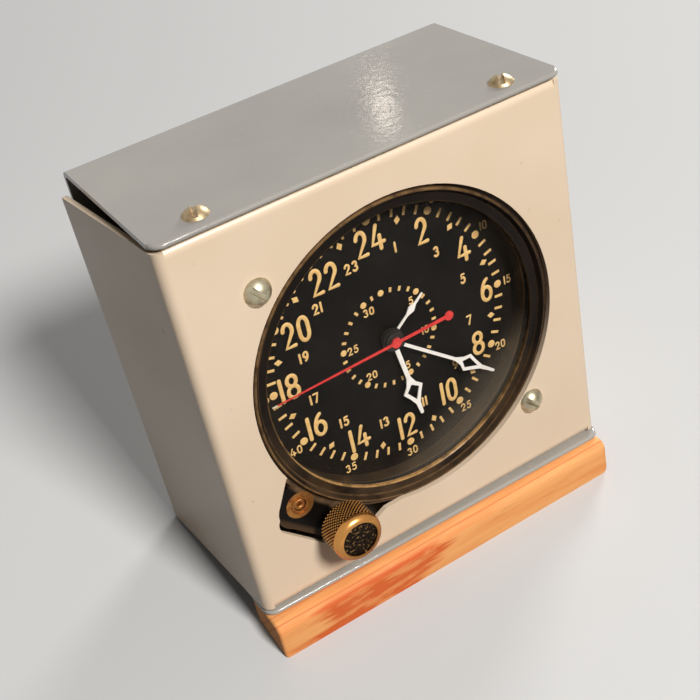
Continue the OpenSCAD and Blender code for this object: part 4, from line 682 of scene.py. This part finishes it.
# %% [markdown]
# A new piece is drawn as a bmesh in the clock's millimetres and then settled: the matrix carries
# its vertices to their place in metres, so the object itself stays at the origin, unturned. Faces
# are shaded smooth except across edges sharper than the given angle.

# %% Settle a finished mesh
def settle(mesh, name, body, material, sharp=35):
    """Carry a mesh to its place and make it a piece that rides on a body."""
    bmesh.ops.transform(mesh, matrix=FROM_MM, verts=mesh.verts)
    data = bpy.data.meshes.new(name)
    mesh.to_mesh(data)
    mesh.free()
    data.shade_smooth()
    data.set_sharp_from_angle(angle=math.radians(sharp))
    data.materials.append(material)
    piece = bpy.data.objects.new(name, data)
    scene.collection.objects.link(piece)
    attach(piece, body)
    print(name, len(data.polygons), "faces")
    return piece


# %% [markdown]
# The dial has three rings of marks. Outside are 48 minute bars with a big dot at every fifth
# minute; just inside them a small lozenge marks each odd hour; round the middle are 31 day marks.
# Each mark is a low block whose top is a little smaller than its foot, like a drop of thick paint.
# A cone with its tip cut off makes dots and, with four sides, lozenges and bars.

# %% Dial marks
def clockwise(radius, degrees):
    """Point of the dial at so many degrees clockwise from the top."""
    return Vector((radius * math.sin(math.radians(degrees)), radius * math.cos(math.radians(degrees)), 0))


PAINT_H, PAINT_SUNK, TOP_SHARE = 0.12, 0.02, 0.86
MINUTE_RING, HOUR_RING, DAY_RING = 31.4, 29.3, 12.45
MINUTE_STEP, HOUR_STEP, DAY_STEP = 360 / 60, 360 / 24, 360 / 31


def add_mark(mesh, shape, length, width, radius, degrees):
    """A raised dot, lozenge or bar, its length along the dial's radius."""
    middle = clockwise(radius, degrees) + Vector((0, 0, DIAL_FACE + PAINT_H / 2 - PAINT_SUNK))
    place = Matrix.Translation(middle) @ Matrix.Rotation(math.radians(-degrees), 4, "Z")
    place = place @ Matrix.Diagonal((width / 2, length / 2, 1, 1))
    if shape == "bar":
        to_square = Matrix.Diagonal((math.sqrt(2), math.sqrt(2), 1, 1)) @ Matrix.Rotation(math.pi / 4, 4, "Z")
        place = place @ to_square
    bmesh.ops.create_cone(mesh, cap_ends=True, segments=20 if shape == "dot" else 4, radius1=1,
                          radius2=TOP_SHARE, depth=PAINT_H, matrix=place)


marks = bmesh.new()
for minute in range(60):
    if minute % 5:
        add_mark(marks, "bar", 2.3, 0.7, MINUTE_RING, minute * MINUTE_STEP)
    else:
        add_mark(marks, "dot", 2.1, 2.1, MINUTE_RING, minute * MINUTE_STEP)
for hour in range(1, 24, 2):
    add_mark(marks, "lozenge", 2.3, 1.7, HOUR_RING, hour * HOUR_STEP)
for day in range(1, 32):
    if day == 1 or day % 5 == 0:
        add_mark(marks, "dot", 1.65, 1.65, DAY_RING, (day - 1) * DAY_STEP)
    else:
        add_mark(marks, "bar", 1.25, 0.7, DAY_RING, (day - 1) * DAY_STEP)
settle(marks, "dial_marks", "stand", paints["luminous_paint_aged"])

# %% [markdown]
# The numerals are monoline, as a hand-held engraving pen of one width would leave them: a plain bar
# for the 1, an open 4, round bowls. Each digit is a few strokes in a box one unit wide and high. A
# curve with a round bevel turns a stroke into a bead of paint; small balls round off its ends. The
# bead is then pressed flat into the dial, which leaves the domed edge that thick paint has.

# %% Strokes of the digits
def bow(x, y, rx, ry, start, end, steps=14):
    """Points of an arc of an ellipse, from one angle to another in degrees."""
    angles = [math.radians(start + (end - start) * i / steps) for i in range(steps + 1)]
    return [(x + rx * math.cos(a), y + ry * math.sin(a)) for a in angles]


DIGIT_STROKES = {
    "0": [bow(0.5, 0.66, 0.48, 0.34, 0, 180) + bow(0.5, 0.34, 0.48, 0.34, 180, 360) + [(0.98, 0.66)]],
    "1": [[(0, 0), (0, 1)]],
    "2": [bow(0.5, 0.72, 0.48, 0.28, 175, -38) + [(0.03, 0), (1, 0)]],
    "3": [bow(0.46, 0.76, 0.42, 0.24, 150, -80) + bow(0.46, 0.27, 0.5, 0.27, 75, -150)],
    "4": [[(0.5, 1), (0, 0.25), (1, 0.25)], [(0.68, 0.55), (0.68, 0)]],
    "5": [[(0.9, 1), (0.2, 1), (0.1, 0.56)] + bow(0.47, 0.33, 0.5, 0.33, 120, -145)],
    "6": [bow(0.98, 0.33, 0.95, 0.68, 110, 180), bow(0.5, 0.31, 0.48, 0.31, 0, 360)],
    "7": [[(0, 1), (1, 1), (0.35, 0)]],
    "8": [bow(0.5, 0.76, 0.43, 0.24, 0, 360), bow(0.5, 0.26, 0.5, 0.26, 0, 360)],
    "9": [bow(0.02, 0.67, 0.95, 0.68, -70, 0), bow(0.5, 0.69, 0.48, 0.31, 0, 360)]}
DIGIT_WIDTH = {"1": 0, "4": 1.3, "6": 1.12, "8": 1.15}
print(len(DIGIT_STROKES), "digits")


# %% [markdown]
# A number is a row of digits, all of one height and drawn with one stroke. Each of the four sets on
# the dial has a height, a width of its digits and a stroke of its own, in millimetres.

# %% Set a number
NUMBER_SIZES = {"even_hour_numbers": (7.0, 2.35, 1.0), "odd_hour_numbers": (2.9, 1.08, 0.58),
                "minute_numbers": (2.4, 1.0, 0.42), "day_numbers": (2.2, 0.95, 0.42)}
DIGIT_GAP = 1.6  # in strokes


def row_width(text, width, stroke):
    """Width of a number, between the middles of its outer strokes."""
    return width * sum(DIGIT_WIDTH.get(digit, 1) for digit in text) + DIGIT_GAP * stroke * (len(text) - 1)


def write_number(text, centre, height, width, stroke):
    """Strokes of a number round its centre, in the dial's millimetres."""
    left = -row_width(text, width, stroke) / 2
    strokes = []
    for digit in text:
        digit_width = width * DIGIT_WIDTH.get(digit, 1)
        for points in DIGIT_STROKES[digit]:
            strokes.append([centre + Vector((left + x * digit_width, (y - 0.5) * (height - stroke), 0))
                            for x, y in points])
        left += digit_width + DIGIT_GAP * stroke
    return strokes


print(len(NUMBER_SIZES), "sizes of number")


# %% [markdown]
# Numbers are set upright round the dial. The big even hours do not stand on one circle: each is
# pushed out until it nearly touches the ring of dots, so a wide number sits further in at the
# sides. A number's box has empty corners, so it is treated as a rounded shape: the exponent lies
# between that of a lozenge, 1, and that of an ellipse, 2. The odd hours, the minutes outside and the
# days inside stand on plain circles.

# %% Lay the numbers out
CLEAR_R, ROUNDING = 29.85, 1.45
ODD_HOURS_R, MINUTES_R, DAYS_R = 22.8, 34.35, 10.0


def even_hour_radius(text, degrees):
    """Radius at which a big number just clears the ring of dots."""
    height, width, stroke = NUMBER_SIZES["even_hour_numbers"]
    across = abs(math.sin(math.radians(degrees))) * (row_width(text, width, stroke) + stroke) / 2
    upright = abs(math.cos(math.radians(degrees))) * height / 2
    return CLEAR_R - (across ** ROUNDING + upright ** ROUNDING) ** (1 / ROUNDING)


places = {name: [] for name in NUMBER_SIZES}
for hour in range(2, 25, 2):
    degrees = hour * HOUR_STEP
    places["even_hour_numbers"].append((hour, clockwise(even_hour_radius(str(hour), degrees), degrees)))
for hour in range(1, 24, 2):
    places["odd_hour_numbers"].append((hour, clockwise(ODD_HOURS_R, hour * HOUR_STEP)))
for minute in range(5, 61, 5):
    places["minute_numbers"].append((minute, clockwise(MINUTES_R, minute * MINUTE_STEP)))
for day in range(5, 31, 5):
    places["day_numbers"].append((day, clockwise(DAYS_R, (day - 1) * DAY_STEP)))
print({name: len(row) for name, row in places.items()})


# %% [markdown]
# Every set of numbers becomes one piece of paint. The curve that makes its beads is only a tool: its
# mesh is taken over, and the curve is removed again.

# %% Paint the numbers
def paint_beads(name, strokes, stroke, material):
    """Beads of paint along some strokes, pressed flat on the dial."""
    curve = bpy.data.curves.new(name, "CURVE")
    curve.dimensions = "3D"
    curve.bevel_depth = stroke / 2
    curve.bevel_resolution = 2
    for points in strokes:
        spline = curve.splines.new("POLY")
        spline.points.add(len(points) - 1)
        for knot, point in zip(spline.points, points):
            knot.co = (*point, 1)
    bead = bpy.data.objects.new(name, curve)
    tube = bead.to_mesh()
    mesh = bmesh.new()
    mesh.from_mesh(tube)
    bead.to_mesh_clear()
    bpy.data.objects.remove(bead)
    bpy.data.curves.remove(curve)
    for points in strokes:
        for end in (points[0], points[-1]):
            bmesh.ops.create_uvsphere(mesh, u_segments=10, v_segments=6, radius=stroke / 2,
                                      matrix=Matrix.Translation(end))
    press = Matrix.Translation((0, 0, DIAL_FACE)) @ Matrix.Scale(2 * PAINT_H / stroke, 4, Vector((0, 0, 1)))
    bmesh.ops.transform(mesh, matrix=press, verts=mesh.verts)
    return settle(mesh, name, "stand", material, sharp=60)


for name, size in NUMBER_SIZES.items():
    strokes = [points for number, middle in places[name] for points in write_number(str(number), middle, *size)]
    paint_beads(name, strokes, size[2], paints["luminous_paint_aged"])

# %% [markdown]
# The knob and the stud beside it are turned pieces. A turned piece is drawn as half of its outline,
# radius against height, and spun round the axis. Points on the axis come out many times over, so
# doubles are merged afterwards.

# %% Turn a piece
def spin_outline(outline, steps):
    """Mesh of half an outline, radius against height, spun round the z axis."""
    mesh = bmesh.new()
    points = [mesh.verts.new((radius, 0, height)) for radius, height in outline]
    for near, far in zip(points, points[1:]):
        mesh.edges.new((near, far))
    bmesh.ops.spin(mesh, geom=mesh.verts[:] + mesh.edges[:], axis=(0, 0, 1), cent=(0, 0, 0), angle=math.tau,
                   steps=steps, use_merge=True)
    bmesh.ops.remove_doubles(mesh, verts=mesh.verts, dist=1e-4)
    return mesh


# %% [markdown]
# The knob is turned brass. Its outline runs from the stem's hole in the back along the drum to the
# rolled edge and the middle of the sunk end. Along the drum it has a point every half pitch of the
# knurl, so the spin leaves a fine grid there.

# %% Turned knob
back, front = [corner.z for corner in clock_box("knob")]
STEM_R, KNURLS, ROWS = 1.5, 40, 12
BACK_CHAMFER, BACK_EDGE, END_DEEP, END_MID = 0.4, 0.5, 0.5, 2.8
drum_low, drum_high = back + BACK_CHAMFER, front - SHOULDER
outline = [(STEM_R, back), (KNOB_R - BACK_EDGE, back)]
outline += [(KNOB_R, drum_low + (drum_high - drum_low) * row / ROWS) for row in range(ROWS + 1)]
outline += [(KNOB_R - 0.03, drum_high + 0.1), (KNOB_R - 0.12, drum_high + 0.6),
            (KNOB_R - 0.35, drum_high + 1.15), (KNOB_R - 0.72, front - 0.42),
            (KNOB_R - 1.12, front - 0.13), (KNOB_R - 1.5, front), (END_R + 0.12, front - 0.04),
            (END_R, front - 0.2), (END_R - 0.08, front - END_DEEP), (END_MID, front - END_DEEP),
            (0, front - END_DEEP)]
knob = spin_outline(outline, steps=2 * KNURLS)
print("knob", len(knob.faces), "faces before the knurl")

# %% [markdown]
# A diamond knurl is two sets of slanting grooves that leave rows of little pyramids. Pulling every
# second point of the drum's grid inwards, like a chessboard, and joining those points across each
# square cuts the grooves and leaves the pyramids between them.

# %% Knurl of the knob
grooves = []
for vert in knob.verts:
    row = (vert.co.z - drum_low) / (drum_high - drum_low) * ROWS
    on_drum = abs(vert.co.xy.length - KNOB_R) < 1e-3 and -0.01 < row < ROWS + 0.01
    column = round(math.atan2(vert.co.y, vert.co.x) / math.tau * 2 * KNURLS)
    if on_drum and (column + round(row)) % 2:
        vert.co.xy *= 1 - KNURL_CUT / KNOB_R
        grooves.append(vert)
bmesh.ops.connect_verts(knob, verts=grooves)
bmesh.ops.recalc_face_normals(knob, faces=knob.faces)
bmesh.ops.translate(knob, vec=(KNOB_MID.x, KNOB_MID.y, 0), verts=knob.verts)
knob_piece = settle(knob, "knurled_knob", "crown", knob_brass, sharp=25)
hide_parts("knob")

# %% [markdown]
# In the insert beside the knob sits the end of a turned stud, with a raised lip round a drilled
# centre. Its outline is spun round the insert's axis. All four inserts are one node: the one beside
# the knob is made of those vertices that lie near the knob, to its left.

# %% Stud in the insert
NEAR_KNOB, STUD_R, STUD_LONG = 18, 1.48, 2.2
insert_low, insert_high = corners([point for point in clock_points("flange_inserts") if point.x < KNOB_MID.x
                                   and (point.xy - KNOB_MID.xy).length < NEAR_KNOB])
insert_mid, face = (insert_low + insert_high) / 2, insert_high.z
stud = spin_outline([(0, face - 1.6), (0.5, face - 1.4), (0.62, face - 0.35), (0.78, face - 0.18),
                     (1.2, face - 0.12), (1.4, face - 0.24), (STUD_R, face - 1.0),
                     (STUD_R, face - STUD_LONG), (0, face - STUD_LONG)], steps=32)
bmesh.ops.recalc_face_normals(stud, faces=stud.faces)
bmesh.ops.translate(stud, vec=(insert_mid.x, insert_mid.y, 0), verts=stud.verts)
settle(stud, "insert_stud", "stand", metals["brass_stained"])

# %% [markdown]
# The foot of the bare model has plain chamfers. Here its end is drawn first, with the slant of the
# table as its lower side, and the upper front corner is rounded by a bevel of several segments. The end
# is pushed along the foot, as a strip comes off a planer, and sandpaper breaks the edges of both ends,
# on the right more than on the left.

# %% Sanded foot
FRONT_ROUND, LEFT_BREAK, RIGHT_BREAK = 3.0, 0.9, 2.3
table_up = CLOCK.to_3x3().transposed() @ Vector((0, 0, 1))
table_point = TO_MM @ Vector((0, 0, 0))
under_back, under_front = [table_point.y - (z - table_point.z) * table_up.z / table_up.y
                           for z in (FOOT_LOW.z, FOOT_HIGH.z)]
foot = bmesh.new()
end_corners = [foot.verts.new((FOOT_LOW.x, y, z)) for y, z in (
    (under_back, FOOT_LOW.z), (under_front, FOOT_HIGH.z), (FOOT_HIGH.y, FOOT_HIGH.z),
    (FOOT_HIGH.y, FOOT_LOW.z))]
foot.faces.new(end_corners)
bmesh.ops.bevel(foot, geom=[end_corners[2]], offset=FRONT_ROUND, segments=8, profile=0.5, affect="VERTICES",
                material=-1)
pushed = bmesh.ops.extrude_face_region(foot, geom=foot.faces[:])
bmesh.ops.translate(foot, vec=(FOOT_HIGH.x - FOOT_LOW.x, 0, 0),
                    verts=[part for part in pushed["geom"] if isinstance(part, bmesh.types.BMVert)])
bmesh.ops.recalc_face_normals(foot, faces=foot.faces)
for side, broken in ((FOOT_LOW.x, LEFT_BREAK), (FOOT_HIGH.x, RIGHT_BREAK)):
    loop = [edge for edge in foot.edges if all(abs(vert.co.x - side) < 1e-3 for vert in edge.verts)]
    bmesh.ops.bevel(foot, geom=loop, offset=broken, segments=5, profile=0.5, affect="EDGES", material=-1)
foot_piece = settle(foot, "sanded_foot", "stand", wood)
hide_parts("wood_foot")
